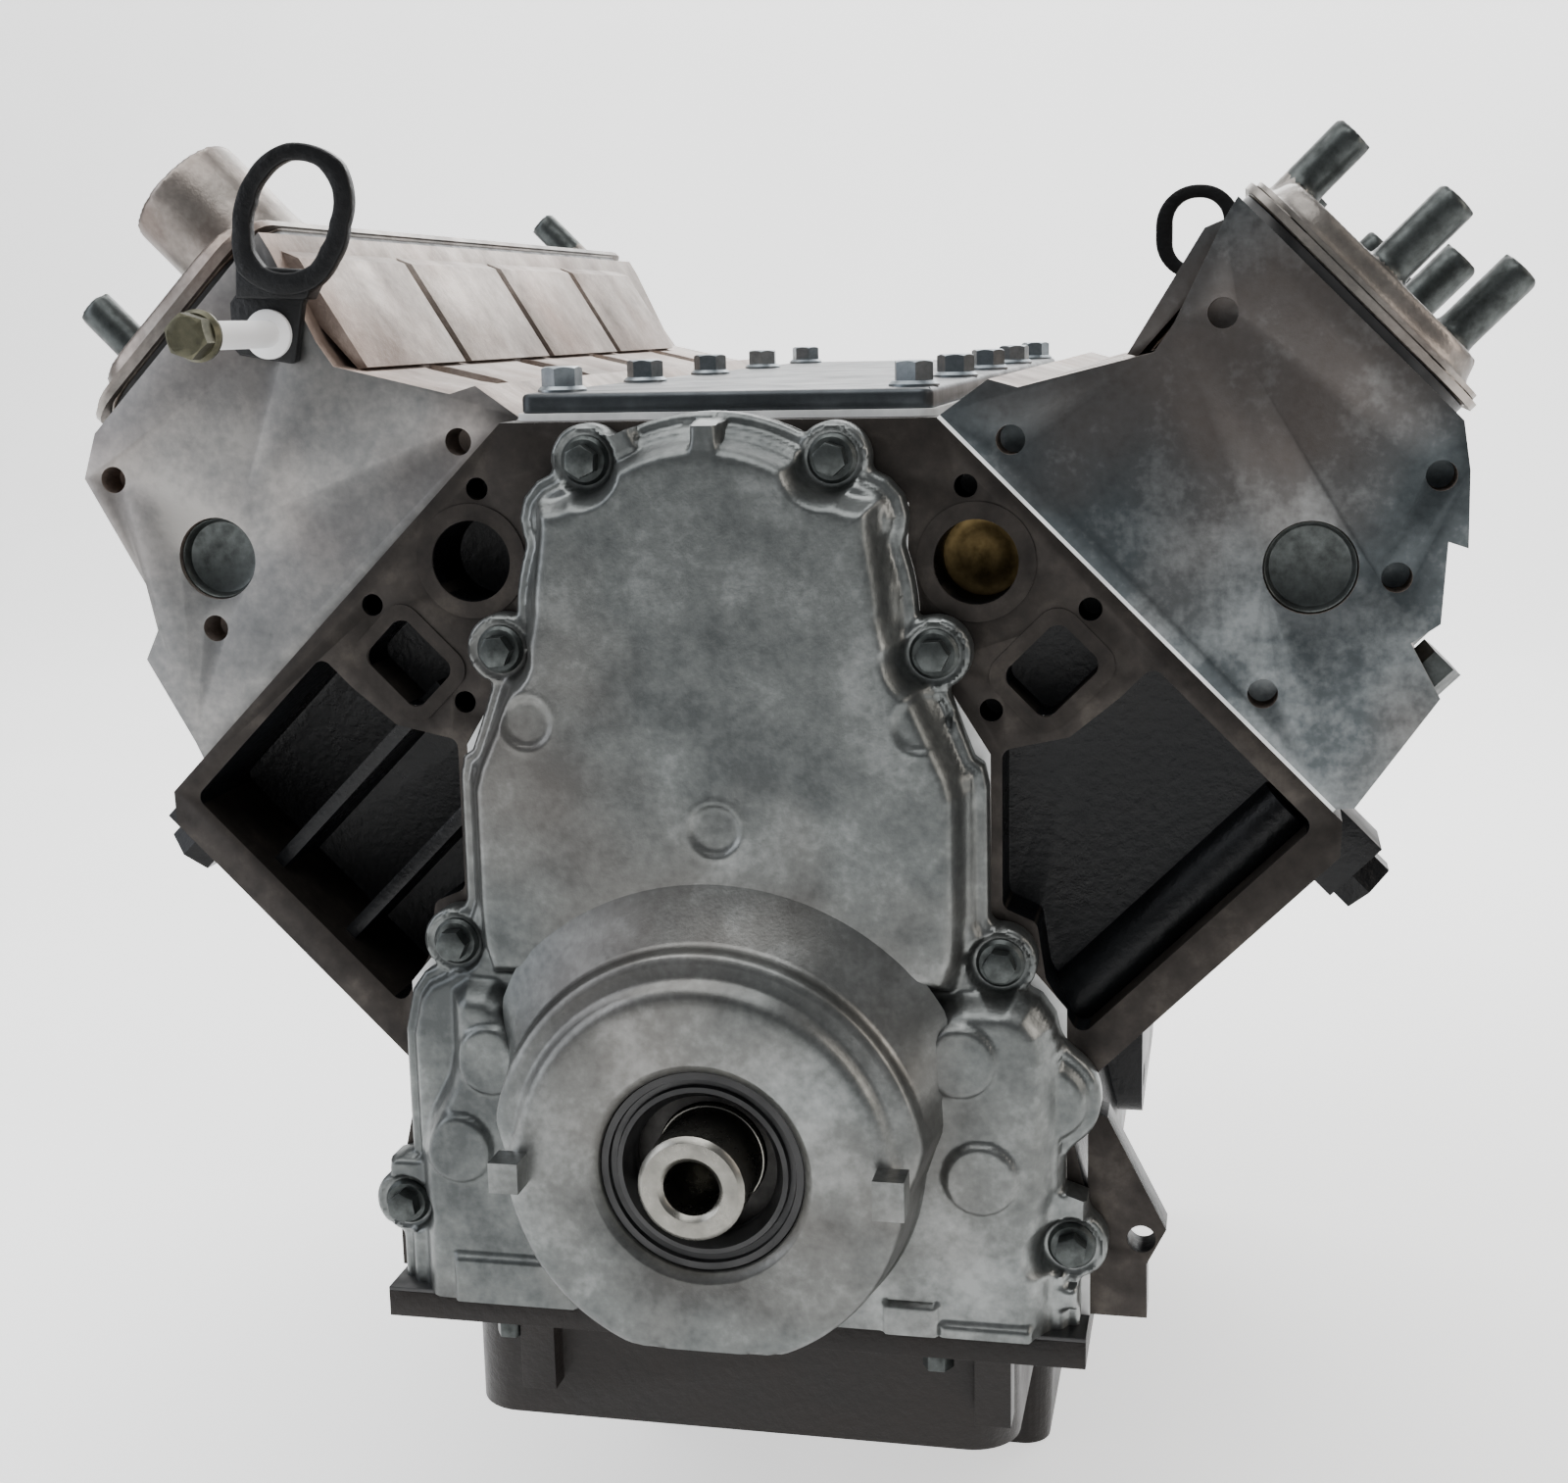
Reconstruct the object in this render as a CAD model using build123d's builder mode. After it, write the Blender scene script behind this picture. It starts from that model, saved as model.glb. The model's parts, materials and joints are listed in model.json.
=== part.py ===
# Truck engine: the long block of a 90 degree pushrod V8 with an iron block and
# aluminium heads. Millimetres. +Z is up and +Y points to the rear. The origin is
# the centre of the crankshaft's rear flange face, on the crankshaft axis.
# "Left" and "right" are the driver's: the left bank is on the +X side.
from build123d import *
import os
from math import asin, atan2, cos, degrees, pi, radians, sin, sqrt

os.makedirs("parts", exist_ok=True)

# Driving dimensions of the crank train
bore_pitch = 111.76
cylinder_bore = 96.0
stroke = 92.0
rod_length = 154.9
deck_height = 234.7
bank_offset = 24.13
cam_height = 124.8
main_journal_radius = 32.5
rod_journal_radius = 26.65
cam_journal_radius = 27.5
cam_base_radius = 19.7
cam_lift = 7.2
snout_radius = 18.75
snout_reach = 63.6
sprocket_seat_radius = 19.2
sprocket_seat_reach = 34.0
crank_flange_radius = 47.5
crank_flange_proud = 12.0
compression_height = 33.4
running_fit = 0.04

# Driving dimensions of the castings
block_length = 514.0
first_main = 33.9
valley_half_width = 77.2
bank_wall = 75.0
deck_outer = 66.5
skirt_half_width = 132.0
skirt_wall = 20.0
pan_rail_drop = 65.0
bay_radius = 88.0
cam_bay_radius = 33.0
bulkhead = 22.0
bearing_shell = 2.5
cam_bearing_shell = 2.0
cam_bearing_length = 18.0
seal_gap = 0.05

# Clearances and common hardware
bolt_play = 0.15
m8_radius = 4.0
m10_radius = 5.0
m11_radius = 5.5
few_sides = 6
some_sides = 8
many_sides = 12

# Screw heads: width across flats, head height, flange radius, flange height
cover_screw = (10.0, 6.0, 8.5, 2.0)
valley_screw = (13.0, 7.0, 9.0, 2.0)
coil_screw = (10.0, 7.0, 9.0, 3.0)
small_screw = (10.0, 6.0, 0, 0)
large_screw = (15.0, 10.0, 0, 0)
cap_screw = (13.0, 7.5, 0, 0)

# Places along the engine
front_y = -(crank_flange_proud + block_length)
rear_y = -crank_flange_proud
main_y = [front_y + first_main + i * bore_pitch for i in range(5)]
throw_y = [y + bore_pitch / 2 for y in main_y[:4]]
bore_y = {side: [y - side * bank_offset / 2 for y in throw_y] for side in (1, -1)}
head_length = block_length - bank_offset
head_front = {1: front_y, -1: front_y + bank_offset}
throw_angles = [45, 135, -45, -135]
crank_radius = stroke / 2
cos45 = cos(radians(45))
deck_apex = deck_height / cos45
valley_top = deck_apex - valley_half_width
names = {1: "left", -1: "right"}
cam_end_stations = (23.0, 25.0)
cam_stations = [front_y + cam_end_stations[0]] + main_y[1:4] + [rear_y - cam_end_stations[1]]


def across(y):
    # A plane across the engine seen from the front: local x is +X, local y is +Z.
    return Plane(origin=(0, y, 0), x_dir=(1, 0, 0), z_dir=(0, -1, 0))


def bank_section(side, y):
    # A plane across one bank: local x runs outwards along the deck, local y up the bore.
    return Plane(origin=(0, y, 0), x_dir=(side * cos45, 0, -cos45), z_dir=(0, -side, 0))


def on_deck(side, height=0.0):
    # A plane parallel to the deck: local x is outwards, local y is the engine's length.
    reach = (deck_height + height) * cos45
    return Plane(
        origin=(side * reach, 0, reach), x_dir=(side * cos45, 0, -cos45), z_dir=(side * cos45, 0, cos45)
    )


def spot(side, u, y):
    return (u, side * y)


def bank_xz(side, u, v):
    # The front view place of a point given along the deck and above it.
    along = deck_height + v
    return (side * (u + along) * cos45, (along - u) * cos45)


def both_sides(points):
    return points + [(-x, z) for x, z in reversed(points)]


def save(builder, label):
    builder.part.label = label
    export_step(builder.part, f"parts/{label}.step")
    return builder.part


def hex_bolts(label, groups, head, shank_radius=0, shank_length=0):
    # Identical screws; each group is a seat plane and the places on it.
    across_flats, head_height, flange_radius, flange_height = head
    with BuildPart() as bolts:
        for seat, places in groups:
            if shank_length:
                with BuildSketch(seat):
                    with Locations(*places):
                        RegularPolygon(shank_radius, few_sides)
                extrude(amount=-shank_length)
            if flange_height:
                with BuildSketch(seat):
                    with Locations(*places):
                        RegularPolygon(flange_radius, many_sides)
                extrude(amount=flange_height)
            with BuildSketch(seat.offset(flange_height)):
                with Locations(*places):
                    RegularPolygon(across_flats / 2, 6, major_radius=False)
            extrude(amount=head_height)
    return save(bolts, label)


# Front end layout, from the front view, mirrored about the crank plane
cover_bolts = [(43.3, 242.0), (77.2, 175.9), (99.4, 68.1), (124.3, -34.4)]
pump_bolts = [(86.9, 231.7), (128.9, 190.1), (95.3, 155.0)]
pump_port = (90.3, 206.0)
pump_port_radius = 14.5
pump_port_depth = 28.0
square_port = (-37.5, -33.2)
square_port_size = (22.0, 28.0)
square_port_depth = 18.0
cover_bolt_depth = 18.0


def outline_of_block():
    half = [
        (valley_half_width, valley_top),
        bank_xz(1, deck_outer, 0),
        bank_xz(1, bank_wall, -9),
        bank_xz(1, bank_wall, -134),
        (skirt_half_width - 8, 0),
        (skirt_half_width, -34),
        (skirt_half_width, -pan_rail_drop),
    ]
    return both_sides(half)


# Valve gear layout along the deck and above it
lifter_line = -cam_height * cos45
lifter_radius = 10.7
lifter_length = 58.0
lifter_seat = cam_base_radius + cam_lift + 0.4
lifter_boss_top = 60.0
valve_spacing = 45.0
pushrod_radius = 4.0
rail_height = 118.0
valve_angle = 15.0


def valve_places(side):
    # Intake and exhaust valve stations along the engine, cylinder by cylinder.
    places = []
    for y in bore_y[side]:
        places += [y - valve_spacing / 2, y + valve_spacing / 2]
    return places


# Pushrods lean outwards from the lifters to the rocker arms
rod_foot = (lifter_line, cam_height * cos45 + lifter_seat + lifter_length - deck_height)
rocker_seat = (-72.0, rail_height - 0.3)
pushrod_length = sqrt((rocker_seat[0] - rod_foot[0]) ** 2 + (rocker_seat[1] - rod_foot[1]) ** 2)
passage = (14.0, 16.0)


def leaning_plane(side, foot, head, y):
    # A plane at a foot point of the bank section whose normal points at the head point.
    run = sqrt((head[0] - foot[0]) ** 2 + (head[1] - foot[1]) ** 2)
    du, dv = (head[0] - foot[0]) / run, (head[1] - foot[1]) / run
    x, z = bank_xz(side, *foot)
    return Plane(origin=(x, y, z), x_dir=(0, 1, 0), z_dir=(side * (du + dv) * cos45, 0, (dv - du) * cos45))


def cut_pushrod_passages(side, reach):
    for y in valve_places(side):
        with BuildSketch(leaning_plane(side, rod_foot, rocker_seat, y)) as slot:
            Rectangle(*passage)
        extrude(slot.sketch, amount=reach, mode=Mode.SUBTRACT)


# Cylinder block
pocket_depth = {1: 22.0, -1: 42.0}
head_bolt_line = 52.0
head_bolt_stations = {side: [y - side * bank_offset / 2 for y in main_y] for side in (1, -1)}
main_bolt_line = 46.0


def cut_front_details():
    for side in (1, -1):
        with BuildSketch(across(front_y)) as bolts:
            with Locations(*[(side * x, z) for x, z in pump_bolts]):
                Circle(m8_radius)
            with Locations(*[(side * x, z) for x, z in cover_bolts]):
                Circle(m8_radius + bolt_play)
        extrude(bolts.sketch, amount=-cover_bolt_depth, mode=Mode.SUBTRACT)
        with BuildSketch(across(front_y)) as port:
            with Locations((side * pump_port[0], pump_port[1])):
                Circle(pump_port_radius)
        extrude(port.sketch, amount=-pump_port_depth, mode=Mode.SUBTRACT)
        with BuildSketch(bank_section(side, front_y)) as passage:
            with Locations((square_port[0], deck_height + square_port[1])):
                RectangleRounded(*square_port_size, 5)
        extrude(passage.sketch, amount=-side * square_port_depth, mode=Mode.SUBTRACT)
        cut_pocket(side)


def cut_pocket(side):
    # The open end pocket between the deck rail, the bank's outer wall and the timing cover.
    pocket = [(150, 171), (204, 117), (126, 39), (114, 60), (111, 80), (99, 85), (99, 141), (122, 146), (139, 160)]
    with BuildSketch(across(front_y)) as profile:
        Polygon(*[(side * x, z) for x, z in pocket])
        fillet(vertices(), 4)
    extrude(profile.sketch, amount=-pocket_depth[side], mode=Mode.SUBTRACT)


def add_pocket_ribs():
    # Two cast ribs and two water jacket swells stand in the deeper pocket.
    depth = pocket_depth[-1]
    rib_reach = 10.0
    with BuildSketch(bank_section(-1, front_y + rib_reach)) as ribs:
        for v in (-46, -84):
            with Locations((16, deck_height + v)):
                Rectangle(104, 5)
    extrude(ribs.sketch, amount=depth - rib_reach)


mount_pad = (120.0, 84.0)
mount_pad_place = (190.0, 2.0)
mount_spacing = (90.0, 56.0)
mount_pad_face = 142.0
mount_hole_depth = 20.0
bell_radius = 178.0
bell_centre = 40.0
bell_thickness = 16.0
bell_holes = [(160, 72), (114, 162), (148, -24)]
ear = [(129, 12), (135.8, 9.9), (156.7, -31), (149.9, -44.5), (150.2, -65), (129, -65)]
ear_hole = (148.0, -35.0)
ear_thickness = 14.0
plug_line = 35.0


def add_side_details():
    # Engine mount pads, the front ear, plug bosses and the bellhousing holes.
    for side in (1, -1):
        pad = Plane(origin=(side * mount_pad_face, 0, 0), x_dir=(0, 1, 0), z_dir=(side, 0, 0))
        spot_y = front_y + mount_pad_place[0]
        with BuildSketch(pad) as base:
            with Locations((spot_y, side * mount_pad_place[1])):
                RectangleRounded(*mount_pad, 12)
        extrude(base.sketch, amount=-(mount_pad_face - skirt_half_width + skirt_wall - 1))
        with BuildSketch(pad) as holes:
            with Locations((spot_y, side * mount_pad_place[1])):
                with GridLocations(*mount_spacing, 2, 2):
                    Circle(m10_radius)
        extrude(holes.sketch, amount=-mount_hole_depth, mode=Mode.SUBTRACT)
        with BuildSketch(bank_section(side, front_y + plug_line - 14)) as boss:
            with Locations((bank_wall + 2, deck_height - 12)):
                Rectangle(20, 24)
        extrude(boss.sketch, amount=-side * 28)
        with BuildSketch(across(rear_y)) as bells:
            with Locations(*[(side * x, z) for x, z in bell_holes]):
                Circle(m10_radius)
        extrude(bells.sketch, amount=bell_thickness, mode=Mode.SUBTRACT)
    with BuildSketch(across(front_y)) as tab:
        Polygon(*ear)
        with Locations(ear_hole):
            Circle(m10_radius, mode=Mode.SUBTRACT)
    extrude(tab.sketch, amount=-ear_thickness)


def build_block():
    with BuildPart() as block:
        with BuildSketch(across(front_y)):
            Polygon(*outline_of_block())
        extrude(amount=-block_length)
        # Bellhousing flange across the rear
        with BuildSketch(across(rear_y)):
            with Locations((0, bell_centre)):
                Circle(bell_radius)
            with Locations((0, bell_centre - bell_radius)):
                Rectangle(3 * bell_radius, 2 * (bell_radius - pan_rail_drop - bell_centre), mode=Mode.SUBTRACT)
        extrude(amount=bell_thickness)
        # Crankcase: open below, round bays between the bulkheads
        with BuildSketch(across(front_y)):
            with Locations((0, -pan_rail_drop / 2)):
                Rectangle(2 * (skirt_half_width - skirt_wall), pan_rail_drop)
        extrude(amount=-block_length, mode=Mode.SUBTRACT)
        for y in main_y[:4]:
            with BuildSketch(across(y + bulkhead / 2)):
                RegularPolygon(bay_radius, some_sides, major_radius=False, rotation=180 / some_sides)
                with Locations((0, cam_height)):
                    RegularPolygon(cam_bay_radius, some_sides, major_radius=False, rotation=180 / some_sides)
                with Locations((0, (bay_radius + cam_height) / 2)):
                    Rectangle(cam_bay_radius, cam_height - bay_radius + 10)
            extrude(amount=-(bore_pitch - bulkhead), mode=Mode.SUBTRACT)
        with BuildSketch(across(front_y)):
            Circle(main_journal_radius + bearing_shell)
        extrude(amount=-block_length, mode=Mode.SUBTRACT)
        with BuildSketch(across(front_y)):
            with Locations((0, cam_height)):
                Circle(cam_journal_radius + cam_bearing_shell)
        extrude(amount=-(block_length - 14), mode=Mode.SUBTRACT)
        cut_valley()
        for side in (1, -1):
            with BuildSketch(on_deck(side)):
                with Locations(*[spot(side, 0, y) for y in bore_y[side]]):
                    Circle(cylinder_bore / 2)
            extrude(amount=-(deck_height - 66), mode=Mode.SUBTRACT)
            with BuildSketch(on_deck(side)):
                with Locations(*[spot(side, lifter_line, y) for y in valve_places(side)]):
                    RegularPolygon(lifter_radius + running_fit, some_sides)
            extrude(amount=-(deck_height - cam_height * cos45), mode=Mode.SUBTRACT)
            cut_pushrod_passages(side, pushrod_length)
        cut_front_details()
        add_pocket_ribs()
        add_side_details()
    return save(block, "cylinder_block")


def cut_valley():
    # The lifter valley under its cover, with a ridged floor square to the lifters.
    floor_top = cam_height + lifter_boss_top / cos45
    half = [
        (60, valley_top + 1),
        bank_xz(1, -112, -13),
        bank_xz(1, -64, -13),
        bank_xz(1, -64, lifter_boss_top + cam_height * cos45 - deck_height),
        (0, floor_top),
    ]
    with BuildSketch(across(front_y + 40)) as trough:
        Polygon(*(half + [(-x, z) for x, z in reversed(half[:-1])]))
    extrude(trough.sketch, amount=-(block_length - 64), mode=Mode.SUBTRACT)


# Main bearing caps, shells and bolts
cap_half_width = 58.0
cap_depth = 46.0
cap_length = 21.0
cap_bolt_places = [(x, y) for y in main_y for x in (-main_bolt_line, main_bolt_line)]


def build_bottom_end():
    with BuildPart() as caps:
        for y in main_y:
            with BuildSketch(across(y - cap_length / 2)):
                with Locations((0, -cap_depth / 2)):
                    Rectangle(2 * cap_half_width, cap_depth)
                chamfer(vertices().group_by(Axis.Y)[0], 12)
                Circle(main_journal_radius + bearing_shell, mode=Mode.SUBTRACT)
            extrude(amount=-cap_length)
        with BuildSketch(Plane.XY.offset(-cap_depth)):
            with Locations(*cap_bolt_places):
                RegularPolygon(m10_radius + bolt_play, few_sides)
        extrude(amount=cap_depth, mode=Mode.SUBTRACT)
    save(caps, "main_bearing_caps")
    seat = Plane(origin=(0, 0, -cap_depth), x_dir=(1, 0, 0), z_dir=(0, 0, -1))
    places = [(x, -y) for x, y in cap_bolt_places]
    hex_bolts("main_cap_bolts", [(seat, places)], cap_screw, m10_radius, cap_depth)
    with BuildPart() as shells:
        for y in main_y:
            with BuildSketch(across(y - cap_length / 2)):
                Circle(main_journal_radius + bearing_shell)
                Circle(main_journal_radius + running_fit, mode=Mode.SUBTRACT)
            extrude(amount=-cap_length)
    save(shells, "main_bearing_shells")
    with BuildPart() as rings:
        for y in cam_stations:
            with BuildSketch(across(y - cam_bearing_length / 2)):
                with Locations((0, cam_height)):
                    Circle(cam_journal_radius + cam_bearing_shell)
                    Circle(cam_journal_radius + running_fit, mode=Mode.SUBTRACT)
            extrude(amount=-cam_bearing_length)
    save(rings, "cam_bearings")


# Crankshaft: five mains, four throws 90 degrees apart, counterweights, nose and rear flange
pin_length = 48.0
web_length = (bore_pitch - pin_length - 24.0) / 2
counterweight_radius = [78, 70, 62, 62, 62, 62, 70, 78]
flange_thickness = crank_flange_proud - 1
flange_bolt_circle = 79.0
snout_bore = 9.8


def toward(angle, reach):
    return (reach * sin(radians(angle)), reach * cos(radians(angle)))


def web_outline(angle, weight):
    # Shoulders round the rod journal, a waist at the main journal and a fanned counterweight.
    shoulder = rod_journal_radius + 4
    corners = [(-24, crank_radius + 22), (24, crank_radius + 22), (shoulder, crank_radius)]
    corners += [(main_journal_radius + 6, 6), (main_journal_radius + 6, -12)]
    corners += [toward(turn, weight) for turn in (112, 135, 158, 180, 202, 225, 248)]
    corners += [(-main_journal_radius - 6, -12), (-main_journal_radius - 6, 6), (-shoulder, crank_radius)]
    turned = []
    for across_throw, along in corners:
        x, z = toward(angle, along)
        side_x, side_z = toward(angle + 90, across_throw)
        turned.append((x + side_x, z + side_z))
    return turned


def build_crankshaft():
    with BuildPart() as crank:
        with BuildSketch(across(front_y - snout_reach)):
            Circle(snout_radius)
        extrude(amount=-(snout_reach - sprocket_seat_reach))
        with BuildSketch(across(front_y - sprocket_seat_reach)):
            Circle(sprocket_seat_radius)
        extrude(amount=-(sprocket_seat_reach + first_main - 12))
        for y in main_y:
            with BuildSketch(across(y - 12)):
                Circle(main_journal_radius)
            extrude(amount=-24)
        for i, (y, angle) in enumerate(zip(throw_y, throw_angles)):
            with BuildSketch(across(y - pin_length / 2)):
                with Locations(toward(angle, crank_radius)):
                    Circle(rod_journal_radius)
            extrude(amount=-pin_length)
            for place, start in ((2 * i, y - pin_length / 2 - web_length), (2 * i + 1, y + pin_length / 2)):
                with BuildSketch(across(start)):
                    Polygon(*web_outline(angle, counterweight_radius[place]))
                extrude(amount=-web_length)
        with BuildSketch(across(main_y[4] + 12)):
            Circle(main_journal_radius)
        extrude(amount=-(-flange_thickness - main_y[4] - 12))
        with BuildSketch(across(0)):
            Circle(crank_flange_radius)
        extrude(amount=flange_thickness)
        with BuildSketch(across(0)):
            with PolarLocations(flange_bolt_circle / 2, 6):
                Circle(m11_radius)
        extrude(amount=flange_thickness, mode=Mode.SUBTRACT)
        with BuildSketch(across(0)):
            Circle(15)
        extrude(amount=12, mode=Mode.SUBTRACT)
        with BuildSketch(across(front_y - snout_reach)):
            Circle(snout_bore)
        extrude(amount=-45, mode=Mode.SUBTRACT)
        nose = crank.edges().filter_by(GeomType.CIRCLE).sort_by(Axis.Y)[:2]
        chamfer(nose, 1.8)
    save(crank, "crankshaft")


# Pistons and rods, set by the throw angles with number one at the top of its stroke
rod_width = 23.6
pin_radius = 12.0
piston_height = 47.0
crown_thickness = 9.0
pin_boss = 15.0


def wrist_height(side, angle):
    across_pin = crank_radius * sin(radians(angle - 45 * side))
    return crank_radius * cos(radians(angle - 45 * side)) + sqrt(rod_length**2 - across_pin**2)


def build_piston(side, place, label):
    y = bore_y[side][place]
    wrist = wrist_height(side, throw_angles[place]) - deck_height
    crown = wrist + compression_height
    with BuildPart() as piston:
        with BuildSketch(on_deck(side, crown)):
            with Locations(spot(side, 0, y)):
                Circle(cylinder_bore / 2 - running_fit)
        extrude(amount=-piston_height)
        with BuildSketch(on_deck(side, crown - crown_thickness)):
            with Locations(spot(side, 0, y)):
                Rectangle(66, 2 * pin_boss)
        extrude(amount=-piston_height, mode=Mode.SUBTRACT)
        with BuildSketch(Plane(origin=bank_point(side, 0, wrist, y - pin_boss), x_dir=(1, 0, 0), z_dir=(0, 1, 0))):
            RegularPolygon(pin_radius, some_sides)
        extrude(amount=2 * pin_boss)
    save(piston, label)


def bank_point(side, u, v, y):
    x, z = bank_xz(side, u, v)
    return (x, y, z)


def build_rods():
    with BuildPart() as rods:
        for side in (1, -1):
            for angle, y in zip(throw_angles, bore_y[side]):
                top = wrist_height(side, angle)
                pin_u = crank_radius * side * sin(radians(angle - 45 * side))
                pin_v = crank_radius * cos(radians(angle - 45 * side))
                lean = degrees(atan2(pin_u, top - pin_v))
                with BuildSketch(bank_section(side, y - rod_width / 2)):
                    with Locations((pin_u, pin_v)):
                        RegularPolygon(rod_journal_radius + 8, some_sides, major_radius=False, rotation=lean + 22.5)
                    with Locations((0, top)):
                        RegularPolygon(pin_radius + 5, some_sides, major_radius=False, rotation=lean + 22.5)
                    with Locations((pin_u / 2, (top + pin_v) / 2)):
                        Rectangle(20, rod_length, rotation=lean)
                    with Locations((pin_u, pin_v)):
                        RegularPolygon(
                            rod_journal_radius + running_fit, many_sides, major_radius=False, mode=Mode.SUBTRACT
                        )
                    with Locations((0, top)):
                        RegularPolygon(
                            pin_radius + running_fit, some_sides, major_radius=False, mode=Mode.SUBTRACT
                        )
                extrude(amount=-side * rod_width)
    save(rods, "connecting_rods")


# Camshaft: lobes from the firing order 1-8-7-2-6-5-4-3
firing_at = {(1, 0): 0, (-1, 3): 90, (1, 3): 180, (-1, 0): 270, (-1, 2): 360, (1, 2): 450, (-1, 1): 540, (1, 1): 630}
lobe_width = 15.0
lobe_flank = 68
cam_core = 15.0


def lobe_outline(turn):
    # The lift rises and falls as a squared cosine over the flanks and is nil on the base circle.
    points = []
    for step in (-60, -36, -12, 12, 36, 60, 100, 140, 180, 220, 260):
        rise = cam_lift * cos(radians(90 * step / lobe_flank)) ** 2 if abs(step) < lobe_flank else 0
        x, z = toward(turn + step, cam_base_radius + rise)
        points.append((x, cam_height + z))
    return points


def build_camshaft():
    with BuildPart() as cam:
        for y in cam_stations:
            with BuildSketch(across(y - cam_bearing_length / 2)):
                with Locations((0, cam_height)):
                    Circle(cam_journal_radius)
            extrude(amount=-cam_bearing_length)
        with BuildSketch(across(cam_sprocket_rear)):
            with Locations((0, cam_height)):
                RegularPolygon(cam_core, 10)
        extrude(amount=-(front_y - cam_sprocket_rear + block_length - 22))
        for side in (1, -1):
            for i, y in enumerate(valve_places(side)):
                peak = 248 if i % 2 else 468
                turn = 45 * side - (firing_at[(side, i // 2)] + peak) / 2
                with BuildSketch(across(y - lobe_width / 2)):
                    Polygon(*lobe_outline(turn))
                extrude(amount=-lobe_width)
    save(cam, "camshaft")


# Timing set: 22 and 44 tooth sprockets and a roller chain
chain_pitch = 9.525
crank_teeth = 22
cam_teeth = 44
sprocket_back = 6.0
sprocket_thickness = 6.0
roller_radius = 2.9
chain_plate = 1.3
plate_half = 3.6
cam_sprocket_rear = front_y - sprocket_back - chain_plate


cam_bolt_circle = 18.0
retainer_thickness = 4.0


def pitch_radius(teeth):
    return chain_pitch / (2 * sin(pi / teeth))


def sprocket_outline(teeth, centre, start):
    # Straight flanked teeth between the roller seats.
    seat = pitch_radius(teeth) - roller_radius - 0.2
    tip = pitch_radius(teeth) + 2.2
    points = []
    for i in range(teeth):
        for share, reach in ((-0.30, seat), (0.30, seat), (0.42, tip), (0.58, tip)):
            x, z = toward(start + (i + share) * 360 / teeth, reach)
            points.append((x, centre + z))
    return points


def build_timing_set():
    face = cam_sprocket_rear
    with BuildPart() as cam_sprocket:
        with BuildSketch(across(face)):
            Polygon(*sprocket_outline(cam_teeth, cam_height, 0))
            with Locations((0, cam_height)):
                with PolarLocations(cam_bolt_circle, 3, start_angle=90, rotate=False):
                    RegularPolygon(m8_radius, few_sides, mode=Mode.SUBTRACT)
        extrude(amount=sprocket_thickness)
    save(cam_sprocket, "cam_sprocket")
    with BuildPart() as crank_sprocket:
        with BuildSketch(across(face)):
            Polygon(*sprocket_outline(crank_teeth, 0, 180))
            Circle(sprocket_seat_radius + running_fit, mode=Mode.SUBTRACT)
        extrude(amount=sprocket_thickness)
    save(crank_sprocket, "crank_sprocket")
    seat = across(face - sprocket_thickness)
    places = [(x, cam_height + z) for x, z in (toward(turn, cam_bolt_circle) for turn in (0, 120, 240))]
    hex_bolts("cam_sprocket_bolts", [(seat, places)], small_screw, m8_radius - bolt_play, sprocket_thickness)
    with BuildPart() as plate:
        with BuildSketch(across(front_y)):
            with Locations((0, cam_height)):
                RegularPolygon(46, 3, rotation=90)
                Circle(cam_core + 1, mode=Mode.SUBTRACT)
            fillet(vertices().filter_by(lambda v: abs(v.Y - cam_height) > 20), 8)
        extrude(amount=retainer_thickness)
    save(plate, "cam_retainer_plate")
    build_chain(face)


def chain_path(offset):
    # The closed loop round both sprockets from its top, a share of a link outside the pitch line.
    small, large = pitch_radius(crank_teeth), pitch_radius(cam_teeth)
    lean = asin((large - small) / cam_height)
    small, large = small + offset, large + offset
    low = (small * cos(lean), -small * sin(lean))
    high = (large * cos(lean), cam_height - large * sin(lean))
    middle = (large * sin(pi / 4), cam_height + large * cos(pi / 4))
    with BuildLine() as half:
        ThreePointArc((0, cam_height + large), middle, high)
        Line(high, low)
        ThreePointArc(low, (small * sin(pi / 4), -small * cos(pi / 4)), (0, -small))
    return Wire(half.line.edges())


def link_joints(offset):
    # The roller places down one side of the loop, then up the other.
    half = chain_path(offset)
    links = round(chain_path(0).length / chain_pitch)
    down = [half @ (i / links) for i in range(links + 1)]
    side = [(p.X, p.Y) for p in down]
    return side + [(-x, z) for x, z in reversed(side[1:-1])]


def build_chain(face):
    with BuildPart() as chain:
        for start in (face + chain_plate, face - sprocket_thickness):
            with BuildSketch(across(start)) as plate:
                Polygon(*link_joints(plate_half))
                Polygon(*link_joints(-plate_half), mode=Mode.SUBTRACT)
            extrude(plate.sketch, amount=chain_plate)
        with BuildSketch(across(face)) as rollers:
            with Locations(*link_joints(0)):
                RegularPolygon(roller_radius, 6)
        extrude(rollers.sketch, amount=sprocket_thickness)
    save(chain, "timing_chain")


# Cylinder heads: section outlines along the deck and above it; the outer ends differ a little
head_inner = [(-125.3, 0), (-122, 21), (-113, 26), (-89, 65), (-91, 76), (-103, 110)]
head_outer = {
    1: [(-3, rail_height), (10, 108.5), (28, 91), (22, 88), (40, 68), (38, 57), (58, 51), (66, 6), (62, 0)],
    -1: [(-3, rail_height), (13, 110), (18, 93), (26, 66), (36, 51), (48, 47), (58, 12), (62, 0)],
}
head_gasket_thickness = 1.3
core_plug_place = (-2.5, 51.5)
core_plug_radius = 15.5
core_plug_recess = 3.0
core_plug_seat = 11.0
press_gap = 0.02
head_holes = {
    1: [(-102.5, 12.1), (-82, 89.2), (4.9, 101.2), (19.1, 68.7), (17, 11.4)],
    -1: [(-102.5, 12.1), (-82, 89.2), (4.9, 101.2), (18.2, 34.6)],
}
head_hole_depth = 14.0
rocker_floor = 78.0
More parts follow.
